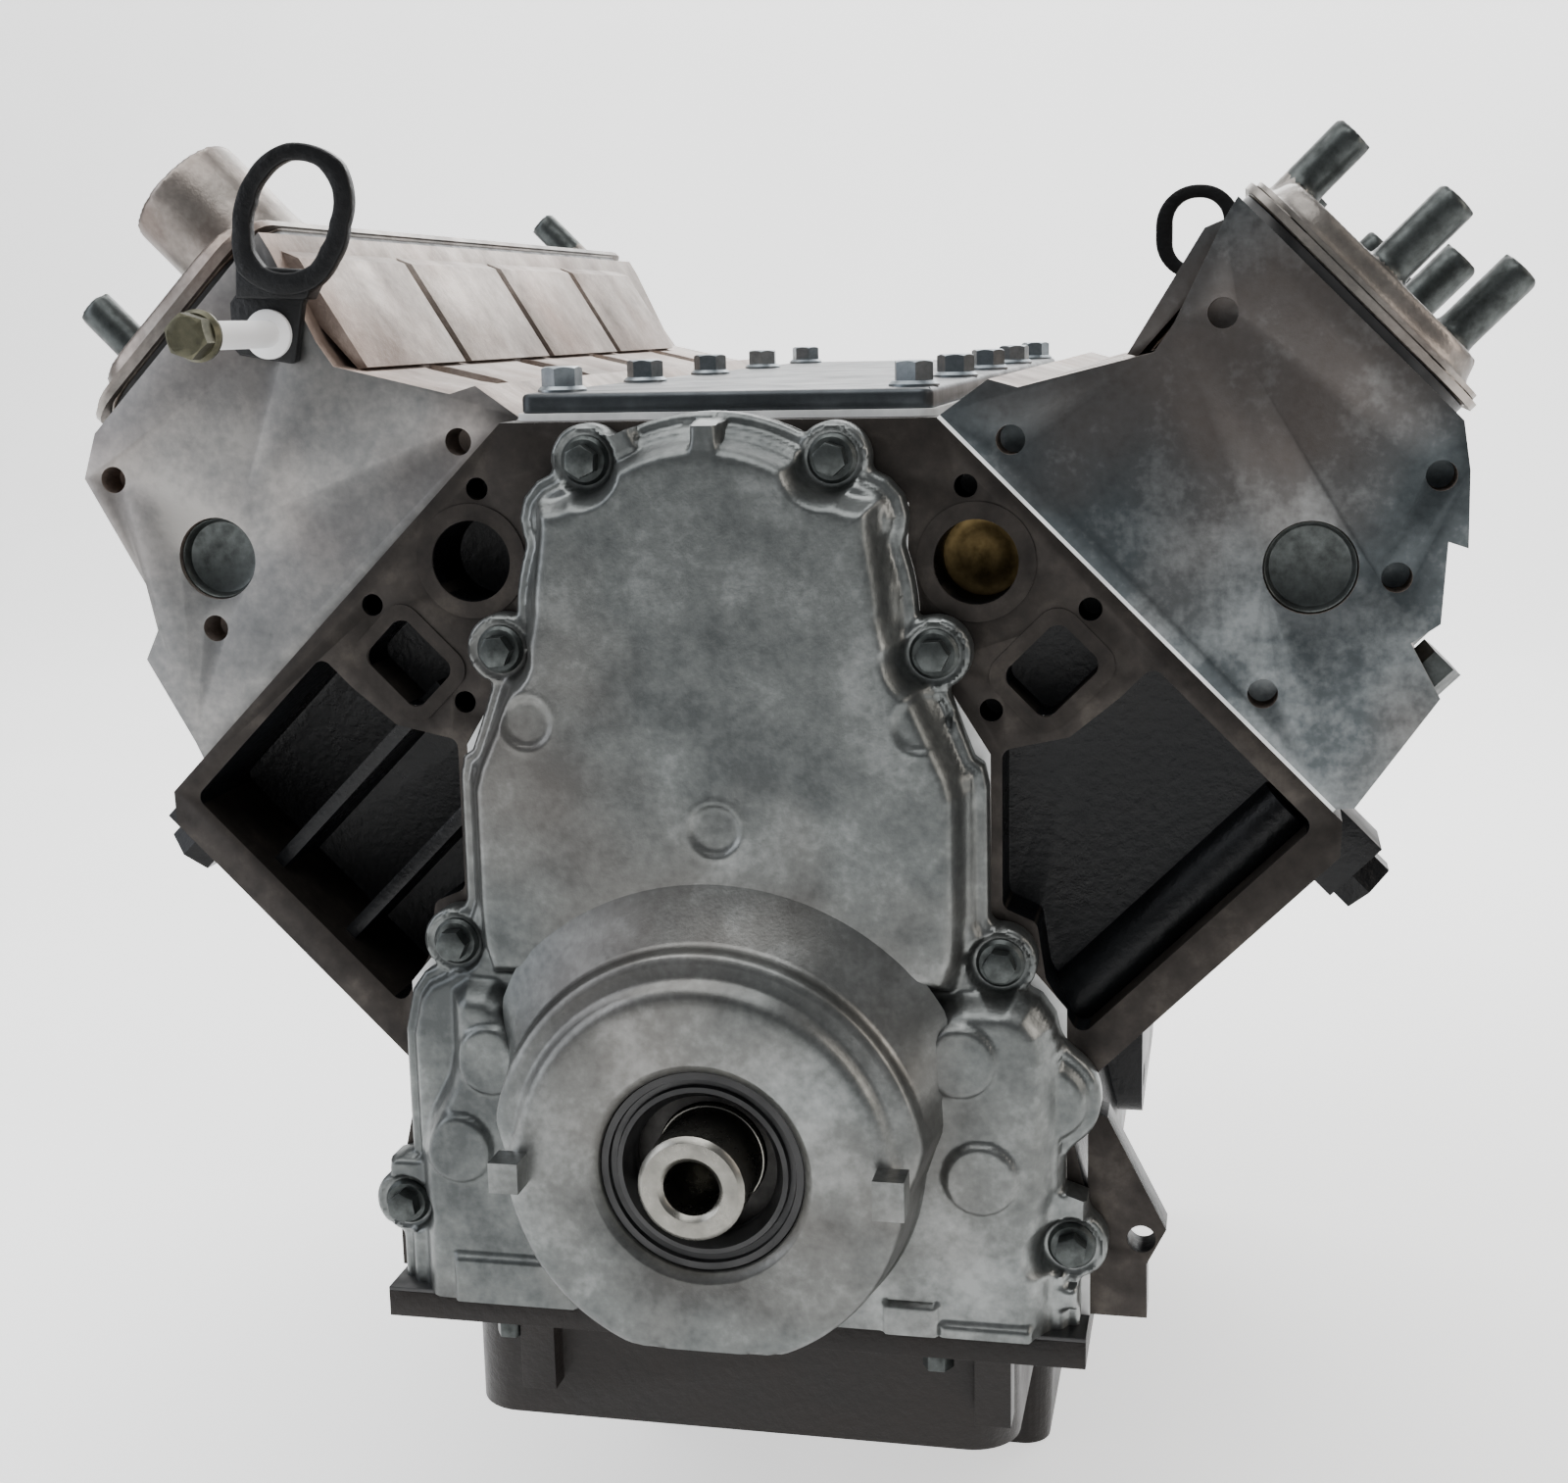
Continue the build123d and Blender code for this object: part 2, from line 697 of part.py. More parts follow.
rail_inner = -105.0
rail_outer = -3.0
rail_width = 9.0
rail_end = 17.0
intake_port = (24.0, 34.0)
intake_port_depth = 12.0
exhaust_port_radius = 17.0
exhaust_port_depth = 20.0
chamber_inner = -84.0
chamber_height = 9.0
valve_line = -4.0
valve_head_radii = (23.0, 19.0)
valve_head_thickness = 3.0
valve_seat_play = 0.4
stem_radius = 4.0
spring_foot = 76.6
spring_radius = 13.0
spring_height = 33.0
outer_bolt_seat = {1: 50.0, -1: 32.0}
head_bolt_spot = 12.0


def head_outline(side):
    points = head_inner + [(rail_inner, rail_height)] + head_outer[side]
    return [(u, deck_height + max(v, head_gasket_thickness)) for u, v in points]


def valve_plane(side, y):
    # A plane on the chamber roof whose normal runs up the valve stem.
    tip = (valve_line - 100 * sin(radians(valve_angle)), chamber_height + 100 * cos(radians(valve_angle)))
    return leaning_plane(side, (valve_line, chamber_height), tip, y)


def face_plane(side, low, high):
    # A plane on a slanted long face of a head, from two points of its section.
    (u1, v1), (u2, v2) = low, high
    middle = ((u1 + u2) / 2, (v1 + v2) / 2)
    return leaning_plane(side, middle, (middle[0] - v2 + v1, middle[1] + u2 - u1), 0)


def build_head(side):
    front = head_front[side]
    middle = front + head_length / 2
    with BuildPart() as head:
        with BuildSketch(bank_section(side, front)):
            Polygon(*head_outline(side))
        extrude(amount=-side * head_length)
        # Rocker chamber inside the cover rail
        chamber_outer = rail_outer - rail_width
        with BuildSketch(on_deck(side, rail_height)):
            with Locations(spot(side, (chamber_inner + chamber_outer) / 2, middle)):
                Rectangle(chamber_outer - chamber_inner, head_length - 2 * rail_end)
        extrude(amount=rocker_floor - rail_height, mode=Mode.SUBTRACT)
        # Valve pockets in the chambers, and the stem guides
        for i, y in enumerate(valve_places(side)):
            with BuildSketch(valve_plane(side, y).offset(valve_head_thickness)):
                RegularPolygon(valve_head_radii[i % 2] + valve_seat_play, some_sides)
            extrude(amount=-valve_head_thickness - 2 * chamber_height, mode=Mode.SUBTRACT)
            with BuildSketch(valve_plane(side, y)):
                RegularPolygon(stem_radius + valve_seat_play, few_sides)
            extrude(amount=spring_foot + 10, mode=Mode.SUBTRACT)
        cut_pushrod_passages(side, pushrod_length)
        # Intake ports face the valley, exhaust ports face outwards
        with BuildSketch(face_plane(side, head_inner[2], head_inner[3])):
            with Locations(*[(y, 0) for y in bore_y[side]]):
                Rectangle(*intake_port)
            chamfer(vertices(), 6)
        extrude(amount=-intake_port_depth, mode=Mode.SUBTRACT)
        with BuildSketch(face_plane(side, head_outer[side][-3], head_outer[side][-2])):
            with Locations(*[(y, 0) for y in bore_y[side]]):
                RegularPolygon(exhaust_port_radius, some_sides, rotation=180 / some_sides)
        extrude(amount=-exhaust_port_depth, mode=Mode.SUBTRACT)
        # Spot faces for the outer row of head bolts and for the two ends of the inner row
        with BuildSketch(on_deck(side, outer_bolt_seat[side])):
            with Locations(*[spot(side, head_bolt_line, y) for y in head_bolt_stations[side]]):
                RegularPolygon(head_bolt_spot, some_sides)
        extrude(amount=rocker_floor - outer_bolt_seat[side], mode=Mode.SUBTRACT)
        with BuildSketch(on_deck(side, rocker_floor)):
            with Locations(*[spot(side, -head_bolt_line, head_bolt_stations[side][i]) for i in (0, 4)]):
                RegularPolygon(head_bolt_spot, some_sides)
        extrude(amount=rail_height - rocker_floor, mode=Mode.SUBTRACT)
        # Holes in the front end and the core plug's seat
        with BuildSketch(bank_section(side, front)):
            with Locations(*[(u, deck_height + v) for u, v in head_holes[side]]):
                Circle(m10_radius)
        extrude(amount=-side * head_hole_depth, mode=Mode.SUBTRACT)
        with BuildSketch(bank_section(side, front)):
            with Locations((core_plug_place[0], deck_height + core_plug_place[1])):
                Circle(core_plug_radius)
        extrude(amount=-side * core_plug_seat, mode=Mode.SUBTRACT)
    save(head, f"{names[side]}_cylinder_head")


def build_head_joints():
    with BuildPart() as gaskets:
        for side in (1, -1):
            with BuildSketch(on_deck(side)):
                with Locations(spot(side, (head_inner[0][0] + 62) / 2, head_front[side] + head_length / 2)):
                    Rectangle(62 - head_inner[0][0], head_length)
                with Locations(*[spot(side, 0, y) for y in bore_y[side]]):
                    RegularPolygon(
                        cylinder_bore / 2, 2 * many_sides, major_radius=False, mode=Mode.SUBTRACT
                    )
            extrude(amount=head_gasket_thickness)
            cut_pushrod_passages(side, pushrod_length)
    save(gaskets, "head_gaskets")
    with BuildPart() as plugs:
        for side in (1, -1):
            with BuildSketch(bank_section(side, head_front[side] + core_plug_recess)):
                with Locations((core_plug_place[0], deck_height + core_plug_place[1])):
                    Circle(core_plug_radius - press_gap)
            extrude(amount=-side * (core_plug_seat - core_plug_recess))
    save(plugs, "core_plugs")
    groups = []
    for side in (1, -1):
        rows = ((-head_bolt_line, rocker_floor), (head_bolt_line, outer_bolt_seat[side]))
        for u, seat in rows:
            groups.append((on_deck(side, seat), [spot(side, u, y) for y in head_bolt_stations[side]]))
    hex_bolts("head_bolts", groups, large_screw)


# Valve gear
pushrod_play = 0.7
rocker_width = 13.0


def build_valve_gear():
    with BuildPart() as lifters:
        for side in (1, -1):
            foot = cam_height * cos45 + lifter_seat - deck_height
            with BuildSketch(on_deck(side, foot)):
                with Locations(*[spot(side, lifter_line, y) for y in valve_places(side)]):
                    RegularPolygon(lifter_radius, some_sides)
            extrude(amount=lifter_length - pushrod_play)
    save(lifters, "lifters")
    with BuildPart() as rods:
        for side in (1, -1):
            for y in valve_places(side):
                with BuildSketch(leaning_plane(side, rod_foot, rocker_seat, y)):
                    RegularPolygon(pushrod_radius, few_sides)
                extrude(amount=pushrod_length)
    save(rods, "pushrods")
    with BuildPart() as rockers:
        for side in (1, -1):
            for y in valve_places(side):
                with BuildSketch(bank_section(side, y - rocker_width / 2)):
                    arm = [(-78, 119), (-66, 118), (-42, 118), (-30, 118.5), (-27, 122), (-48, 128), (-74, 125)]
                    Polygon(*[(u, deck_height + v) for u, v in arm])
                extrude(amount=-side * rocker_width)
    save(rockers, "rocker_arms")
    with BuildPart() as stands:
        for side in (1, -1):
            with BuildSketch(on_deck(side, rocker_floor)):
                with Locations(*[spot(side, -52, y) for y in valve_places(side)]):
                    Rectangle(14, 12)
            extrude(amount=rail_height - rocker_floor)
    save(stands, "rocker_stands")
    with BuildPart() as valves:
        for side in (1, -1):
            for i, y in enumerate(valve_places(side)):
                with BuildSketch(valve_plane(side, y)):
                    RegularPolygon(valve_head_radii[i % 2], some_sides)
                extrude(amount=valve_head_thickness - valve_seat_play)
                with BuildSketch(valve_plane(side, y)):
                    RegularPolygon(stem_radius, few_sides)
                extrude(amount=spring_foot)
    save(valves, "valves")
    with BuildPart() as springs:
        for side in (1, -1):
            for y in valve_places(side):
                with BuildSketch(valve_plane(side, y).offset(spring_foot)):
                    RegularPolygon(spring_radius, some_sides)
                extrude(amount=spring_height, taper=6)
    save(springs, "valve_springs")


# Rocker covers
cover_seal = 3.0
cover_rail = 5.0
cover_wall = 3.6
cover_roof = 134.7
post_radius = 7.5
posts = [(-93.5, 45, 160), (-54, 30, 167), (-36, 95, 160), (-22, 45, 167)]
filler_radius = 24.0
filler_mouth = 17.0
filler_place = (-80.0, 52.0)
filler_top = 171.0
cover_bolt_line = -54.0
cover_bolt_stations = [75, 195, 300, 420]


def build_rocker_covers():
    base = rail_height + cover_seal
    width = rail_outer - rail_inner
    for side in (1, -1):
        front = head_front[side]
        centre = spot(side, (rail_inner + rail_outer) / 2, front + head_length / 2)
        with BuildPart() as cover:
            with BuildSketch(on_deck(side, base)):
                with Locations(centre):
                    RectangleRounded(width, head_length - 4, 26)
            extrude(amount=cover_rail)
            with BuildSketch(on_deck(side, base + cover_rail)):
                with Locations(centre):
                    RectangleRounded(width - 11, head_length - 15, 21)
            extrude(amount=cover_roof - base - cover_rail, taper=20)
            # Coil posts, each end of the cover the mirror of the other
            for u, y, height in posts:
                for station in (y, head_length - y):
                    if side == -1 and station < 60 and u < -50:
                        continue
                    with BuildSketch(on_deck(side, base + cover_rail)):
                        with Locations(spot(side, u, front + station)):
                            Circle(post_radius)
                    extrude(amount=height - base - cover_rail)
            if side == -1:
                with BuildSketch(on_deck(side, base + cover_rail)):
                    with Locations(spot(side, filler_place[0], front + filler_place[1])):
                        Circle(filler_radius)
                extrude(amount=filler_top - base - cover_rail)
            with BuildSketch(on_deck(side, base)):
                with Locations(centre):
                    RectangleRounded(width - 2 * rail_width, head_length - 2 * rail_end, 14)
            extrude(amount=cover_roof - base - cover_wall, mode=Mode.SUBTRACT)
            if side == -1:
                with BuildSketch(on_deck(side, filler_top)):
                    with Locations(spot(side, filler_place[0], front + filler_place[1])):
                        Circle(filler_mouth)
                extrude(amount=cover_roof - cover_wall - filler_top, mode=Mode.SUBTRACT)
        save(cover, f"{names[side]}_rocker_cover")
    with BuildPart() as seals:
        for side in (1, -1):
            centre = spot(side, (rail_inner + rail_outer) / 2, head_front[side] + head_length / 2)
            with BuildSketch(on_deck(side, rail_height)):
                with Locations(centre):
                    RectangleRounded(width - 2, head_length - 6, 25)
                    RectangleRounded(width - 2 * rail_width, head_length - 2 * rail_end, 14, mode=Mode.SUBTRACT)
            extrude(amount=cover_seal)
    save(seals, "rocker_cover_seals")
    groups = []
    for side in (1, -1):
        places = [spot(side, cover_bolt_line, head_front[side] + y) for y in cover_bolt_stations]
        groups.append((on_deck(side, cover_roof), places))
    hex_bolts("rocker_cover_bolts", groups, coil_screw)


# Valley cover
valley_plate = 7.0
valley_gasket = 2.5
valley_cover_half = 74.0
valley_cover_front = 12.0
valley_bolt_line = 64.6


def build_valley_cover():
    places = [(x, y) for x in (-valley_bolt_line, valley_bolt_line) for y in main_y]
    length = block_length - 2 * valley_cover_front
    middle = front_y + block_length / 2
    with BuildPart() as sheet:
        with BuildSketch(Plane.XY.offset(valley_top)):
            with Locations((0, middle)):
                RectangleRounded(2 * valley_cover_half + 3, length + 3, 6)
                Rectangle(2 * valley_cover_half - 40, length - 60, mode=Mode.SUBTRACT)
        extrude(amount=valley_gasket)
    save(sheet, "valley_cover_gasket")
    with BuildPart() as plate:
        with BuildSketch(Plane.XY.offset(valley_top + valley_gasket)):
            with Locations((0, middle)):
                RectangleRounded(2 * valley_cover_half, length, 5)
            with Locations(*places):
                RegularPolygon(m8_radius + bolt_play, few_sides, mode=Mode.SUBTRACT)
        extrude(amount=valley_plate)
        top = plate.faces().sort_by(Axis.Z)[-1]
        chamfer(top.outer_wire().edges(), 1.2)
    save(plate, "valley_cover")
    seat = Plane.XY.offset(valley_top + valley_gasket + valley_plate)
    hex_bolts("valley_cover_bolts", [(seat, places)], valley_screw, m8_radius, valley_plate)


# Front cover over the timing set
cover_gasket = 1.0
cover_flange_face = 10.0
cover_body_face = 25.0
cover_body_inset = 8.0
cover_rim = 13.0
nose_face = 51.0
nose_radius = 70.0
dome_radius = 97.0
seal_radius = 36.5
seal_lip = 25.0
seal_depth = 9.0
seal_recess = 4.0
front_wall = 4.0
cover_top = 258.0
cover_crown = 71.0
cover_boss = 12.5
cover_lobe = (118.0, 18.0)
cover_lobe_radius = 16.0
dimples = [(-68, 152), (68, 152), (0, 112)]
pads = [(-82, 33), (-95, -2), (84, 39), (91, -4)]
pump_cavity_radius = 76.0
pump_cavity_depth = 33.0


def cover_outline(inset):
    half = [(40, 246), (58, 236), (67.5, 226), (66.5, 190), (81, 162), (95, 139.5), (95, 80), (121.5, 49)]
    half += [(121.5, -16), (130, -24), (130, -pan_rail_drop)]
    with BuildSketch(across(front_y)) as outline:
        Polygon(*both_sides(half))
        if inset:
            offset(amount=-inset, kind=Kind.INTERSECTION, mode=Mode.REPLACE)
        with Locations((0, cover_top - cover_crown)):
            Circle(cover_crown - inset)
        with Locations(cover_lobe):
            Circle(cover_lobe_radius - inset)
    return outline.sketch


def cover_bolt_places():
    return [(side * x, z) for x, z in cover_bolts for side in (1, -1)]


def build_front_cover():
    with BuildPart() as cover:
        with BuildSketch(across(front_y)) as flange:
            add(cover_outline(0))
            with Locations(*cover_bolt_places()):
                Circle(cover_boss)
        extrude(amount=cover_flange_face)
        for inset, reach in ((cover_body_inset, cover_body_face - 3), (cover_body_inset + 3, cover_body_face)):
            with BuildSketch(across(front_y)) as body:
                add(cover_outline(inset))
                with Locations(*cover_bolt_places()):
                    Circle(cover_boss - 1.5, mode=Mode.SUBTRACT)
            extrude(amount=reach)
        # Crowned nose round the crankshaft
        with BuildSketch(Plane.YZ) as nose:
            profile = [(0, 0), (0, dome_radius), (cover_body_face, dome_radius), (cover_body_face + 9, 86)]
            profile += [(cover_body_face + 11, 79), (cover_body_face + 17, 76), (nose_face - 5, nose_radius + 1)]
            profile += [(nose_face, nose_radius - 5), (nose_face, 0)]
            Polygon(*[(front_y - depth, r) for depth, r in profile])
        revolve(axis=Axis.Y)
        # Dimples and raised pads
        with BuildSketch(across(front_y - cover_body_face)):
            with Locations(*dimples):
                Circle(8)
        extrude(amount=-1.2, mode=Mode.SUBTRACT)
        with BuildSketch(across(front_y - cover_body_face)):
            with Locations(*pads):
                Circle(13)
        extrude(amount=3)
        # Hollow for the timing set and the oil pump, then the seal's bore
        with BuildSketch(across(front_y)):
            add(cover_outline(cover_rim))
        extrude(amount=cover_body_face - front_wall, mode=Mode.SUBTRACT)
        with BuildSketch(across(front_y)):
            Circle(pump_cavity_radius)
        extrude(amount=pump_cavity_depth, mode=Mode.SUBTRACT)
        with BuildSketch(across(front_y)):
            Circle(seal_radius)
        extrude(amount=nose_face, mode=Mode.SUBTRACT)
        with BuildSketch(across(front_y)):
            with Locations(*cover_bolt_places()):
                RegularPolygon(m8_radius + bolt_play, few_sides)
        extrude(amount=nose_face, mode=Mode.SUBTRACT)
        # The cover stops at the gasket and is cut level with the pan rail
        with BuildSketch(across(front_y + 1)):
            Rectangle(400, 600)
        extrude(amount=1 + cover_gasket, mode=Mode.SUBTRACT)
        with BuildSketch(Plane.XY.offset(-pan_rail_drop)):
            with Locations((0, front_y)):
                Rectangle(400, 200)
        extrude(amount=-100, mode=Mode.SUBTRACT)
    save(cover, "front_cover")
    with BuildPart() as sheet:
        with BuildSketch(across(front_y)):
            add(cover_outline(0))
            add(cover_outline(cover_rim), mode=Mode.SUBTRACT)
            with Locations(*cover_bolt_places()):
                RegularPolygon(m8_radius + bolt_play, few_sides, mode=Mode.SUBTRACT)
        extrude(amount=cover_gasket)
    save(sheet, "front_cover_gasket")
    seat = across(front_y - cover_flange_face)
    hex_bolts("front_cover_bolts", [(seat, cover_bolt_places())], cover_screw, m8_radius, cover_flange_face + 15)
    with BuildPart() as seal:
        with BuildSketch(across(front_y - nose_face + seal_recess + seal_depth)):
            Circle(seal_radius - press_gap)
            Circle(seal_lip, mode=Mode.SUBTRACT)
        extrude(amount=seal_depth)
    save(seal, "front_crank_seal")


# Oil pump and pickup
pump_radius = 60.0
pump_rear = 15.0
pump_front = 31.0
pump_bore = sprocket_seat_radius + 0.5
pickup_radius = 8.0


def build_oil_system():
    with BuildPart() as pump:
        with BuildSketch(across(front_y - pump_rear)):
            Circle(pump_radius)
            Circle(pump_bore, mode=Mode.SUBTRACT)
        extrude(amount=pump_front - pump_rear)
        with BuildSketch(across(front_y)):
            with Locations((-50, -18), (50, -18)):
                Rectangle(12, 16)
        extrude(amount=pump_rear)
        with BuildSketch(Plane.XY.offset(-pan_rail_drop)):
            with Locations((0, front_y - pump_rear)):
                Rectangle(400, 200)
        extrude(amount=-100, mode=Mode.SUBTRACT)
    save(pump, "oil_pump")
    stations = [main_y[1], main_y[3]]
    with BuildPart() as tray:
        with BuildSketch(Plane.XY.offset(-tray_drop)):
            with Locations((0, (stations[0] + stations[1]) / 2)):
                Rectangle(180, stations[1] - stations[0] + 100)
        extrude(amount=-tray_thickness)
        with BuildSketch(Plane.XY.offset(-tray_drop)):
            with Locations(*[(x, y) for y in stations for x in (-main_bolt_line, main_bolt_line)]):
                RegularPolygon(6, 6)
        extrude(amount=tray_drop - cap_depth - cap_screw[1])
    save(tray, "windage_tray")
    level = -(tray_drop + tray_thickness + pickup_radius + 6)
    start = front_y + 60
    with BuildPart() as pickup:
        with BuildLine() as route:
            corners = [(60, start, level), (60, start + 150, level), (60, start + 215, -200)]
            Polyline(*corners)
        with BuildSketch(Plane(origin=(60, start, level), z_dir=(0, 1, 0))):
            RegularPolygon(pickup_radius, some_sides)
        sweep(path=route.line)
        with BuildSketch(Plane.XY.offset(-200)):
            with Locations((60, start + 215)):
                RegularPolygon(28, some_sides)
        extrude(amount=-12)
        with BuildSketch(Plane.XY.offset(-tray_drop - tray_thickness)):
            with Locations((60, start + 120)):
                Rectangle(12, 16)
        extrude(amount=-10)
    save(pickup, "oil_pickup")


# Oil pan
pan_gasket = 1.5
pan_flange = 10.0
pan_half_width = 104.0
pan_floor = 118.0
sump_floor = 225.0
sump_start = 185.0
sump_end = 492.0
pan_wall = 5.0
pan_front = 8.0
pan_flange_front = 40.0
pan_bolt_line = 117.0
pan_bolt_stations = [60, 165, 270, 375, 480]
rear_cover_thickness = 9.0
tray_drop = 85.0
tray_thickness = 1.5
drain_place = (0.0, 440.0)
drain_radius = 9.0


def build_oil_pan():
    top = -pan_rail_drop - pan_gasket
    tub_length = block_length + pan_front
    tub_middle = front_y - pan_front + tub_length / 2
    sump_middle = front_y + (sump_start + sump_end) / 2
    flange_length = block_length + pan_flange_front + rear_cover_thickness
    flange_middle = front_y - pan_flange_front + flange_length / 2
    flange_half = skirt_half_width - 2
    with BuildPart() as pan:
        with BuildSketch(Plane.XY.offset(top)):
            with Locations((0, flange_middle)):
                RectangleRounded(2 * flange_half, flange_length, 8)
        extrude(amount=-pan_flange)
        for inset, mode in ((0, Mode.ADD), (pan_wall, Mode.SUBTRACT)):
            with BuildSketch(Plane.XY.offset(top)):
                with Locations((0, tub_middle)):
                    RectangleRounded(2 * (pan_half_width - inset), tub_length - 2 * inset, 18)
            extrude(amount=-(pan_floor - inset + top), mode=mode)
            with BuildSketch(Plane.XY.offset(-pan_floor + pan_wall)):
                with Locations((0, sump_middle)):
                    RectangleRounded(2 * (pan_half_width - inset), sump_end - sump_start - 2 * inset, 18)
            extrude(amount=-(sump_floor - inset - pan_floor + pan_wall), taper=3, mode=mode)
        with BuildSketch(Plane.XY.offset(-sump_floor)):
            with Locations((drain_place[0], front_y + drain_place[1])):
                Circle(drain_radius + press_gap)
        extrude(amount=pan_wall, mode=Mode.SUBTRACT)
        for x in (-73, 97):
            with BuildSketch(Plane.XY.offset(top - pan_flange)):
                with Locations((x, front_y - pan_front - 4)):
                    Rectangle(13, 12)
            extrude(amount=-26)
    save(pan, "oil_pan")
    with BuildPart() as sheet:
        with BuildSketch(Plane.XY.offset(-pan_rail_drop)):
            with Locations((0, flange_middle)):
                RectangleRounded(2 * flange_half, flange_length, 8)
            with Locations((0, tub_middle)):
                Rectangle(2 * (pan_half_width - pan_wall), tub_length - 20, mode=Mode.SUBTRACT)
        extrude(amount=-pan_gasket)
    save(sheet, "oil_pan_gasket")
    seat = Plane(origin=(0, 0, top - pan_flange), x_dir=(1, 0, 0), z_dir=(0, 0, -1))
    places = [(x, -front_y - y) for x in (-pan_bolt_line, pan_bolt_line) for y in pan_bolt_stations]
    places += [(x, -front_y + 30) for x in (-84, 77)]
    hex_bolts("oil_pan_bolts", [(seat, places)], small_screw)
    with BuildPart() as plug:
        with BuildSketch(Plane.XY.offset(-sump_floor)):
            with Locations((drain_place[0], front_y + drain_place[1])):
                Circle(drain_radius)
        extrude(amount=pan_wall)
    save(plug, "drain_plug")


# Rear cover and seal
rear_seal_radius = 58.0
rear_cover_size = (190.0, 126.0)


def build_rear_cover():
    with BuildPart() as cover:
        with BuildSketch(across(rear_y)):
            with Locations((0, rear_cover_size[1] / 2 - pan_rail_drop)):
                RectangleRounded(*rear_cover_size, 12)
            Circle(rear_seal_radius, mode=Mode.SUBTRACT)
        extrude(amount=-rear_cover_thickness)
    save(cover, "rear_cover")
    with BuildPart() as seal:
        with BuildSketch(across(rear_y)):
            Circle(rear_seal_radius - press_gap)
            Circle(crank_flange_radius + seal_gap, mode=Mode.SUBTRACT)
        extrude(amount=-rear_cover_thickness)
    save(seal, "rear_crank_seal")
    seat = Plane(origin=(0, rear_y + rear_cover_thickness, 0), x_dir=(1, 0, 0), z_dir=(0, 1, 0))
    places = [(x, -z) for x in (-84, 84) for z in (-50, 0, 50)]
    hex_bolts("rear_cover_bolts", [(seat, places)], small_screw)


# Lifting straps at the front of one head and the rear of the other
strap_thickness = 5.0
tab_size = (36.0, 34.0)
tab_offset = (12.0, 6.0)
eye_outer = (45.0, 50.0)
eye_inner = (27.0, 36.0)
eye_offset = (19.5, 43.0)
lift_hole = (-82.0, 89.2)
front_bolt_out = 55.0


def build_lifting_straps():
    x, z = bank_xz(1, *lift_hole)
    rear_face = head_front[1] + head_length
    with BuildPart() as straps:
        for side, y in ((-1, head_front[-1]), (1, rear_face + strap_thickness)):
            with BuildSketch(across(y)):
                with Locations((side * x, z)):
                    with Locations((-side * tab_offset[0], tab_offset[1])):
                        Rectangle(*tab_size)
                    Circle(m10_radius + bolt_play, mode=Mode.SUBTRACT)
                with Locations((side * (x - eye_offset[0]), z + eye_offset[1])):
                    RectangleRounded(*eye_outer, eye_outer[0] / 2 - 1)
                    RectangleRounded(*eye_inner, eye_inner[0] / 2 - 1, mode=Mode.SUBTRACT)
            extrude(amount=strap_thickness)
    save(straps, "lifting_straps")
    front_seat = across(head_front[-1] - front_bolt_out)
    rear_seat = Plane(origin=(0, rear_face + strap_thickness, 0), x_dir=(-1, 0, 0), z_dir=(0, 1, 0))
    with BuildPart() as bolts:
        for seat, place, shank in ((front_seat, (-x, z), front_bolt_out + 6), (rear_seat, (-x, z), strap_thickness)):
            with BuildSketch(seat):
                with Locations(place):
                    Circle(m10_radius - bolt_play)
            extrude(amount=-shank)
            with BuildSketch(seat):
                with Locations(place):
                    Circle(9)
            extrude(amount=2)
            with BuildSketch(seat):
                with Locations(place):
                    RegularPolygon(7.5, 6, major_radius=False)
            extrude(amount=9)
    save(bolts, "lifting_strap_bolts")
    with BuildPart() as plugs:
        for side in (1, -1):
            u, v = bank_wall + 12, -14
            x, z = bank_xz(side, u, v)
            face = Plane(origin=(x, front_y + plug_line, z), x_dir=(0, 1, 0), z_dir=(side * cos45, 0, -cos45))
            with BuildSketch(face):
                RegularPolygon(11, 6)
            extrude(amount=9)
    save(plugs, "block_plugs")


build_block()
build_bottom_end()
build_crankshaft()
for place in range(4):
    build_piston(1, place, f"piston_{2 * place + 1}")
    build_piston(-1, place, f"piston_{2 * place + 2}")
build_rods()
build_camshaft()
build_timing_set()
for side in (1, -1):
    build_head(side)
build_head_joints()
build_valve_gear()
build_rocker_covers()
build_valley_cover()
build_front_cover()
build_oil_system()
build_oil_pan()
build_rear_cover()
build_lifting_straps()
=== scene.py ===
import bmesh
import bpy
import json
import numpy as np
from math import cos, pi, radians, sin, sqrt
from mathutils import Matrix, Vector


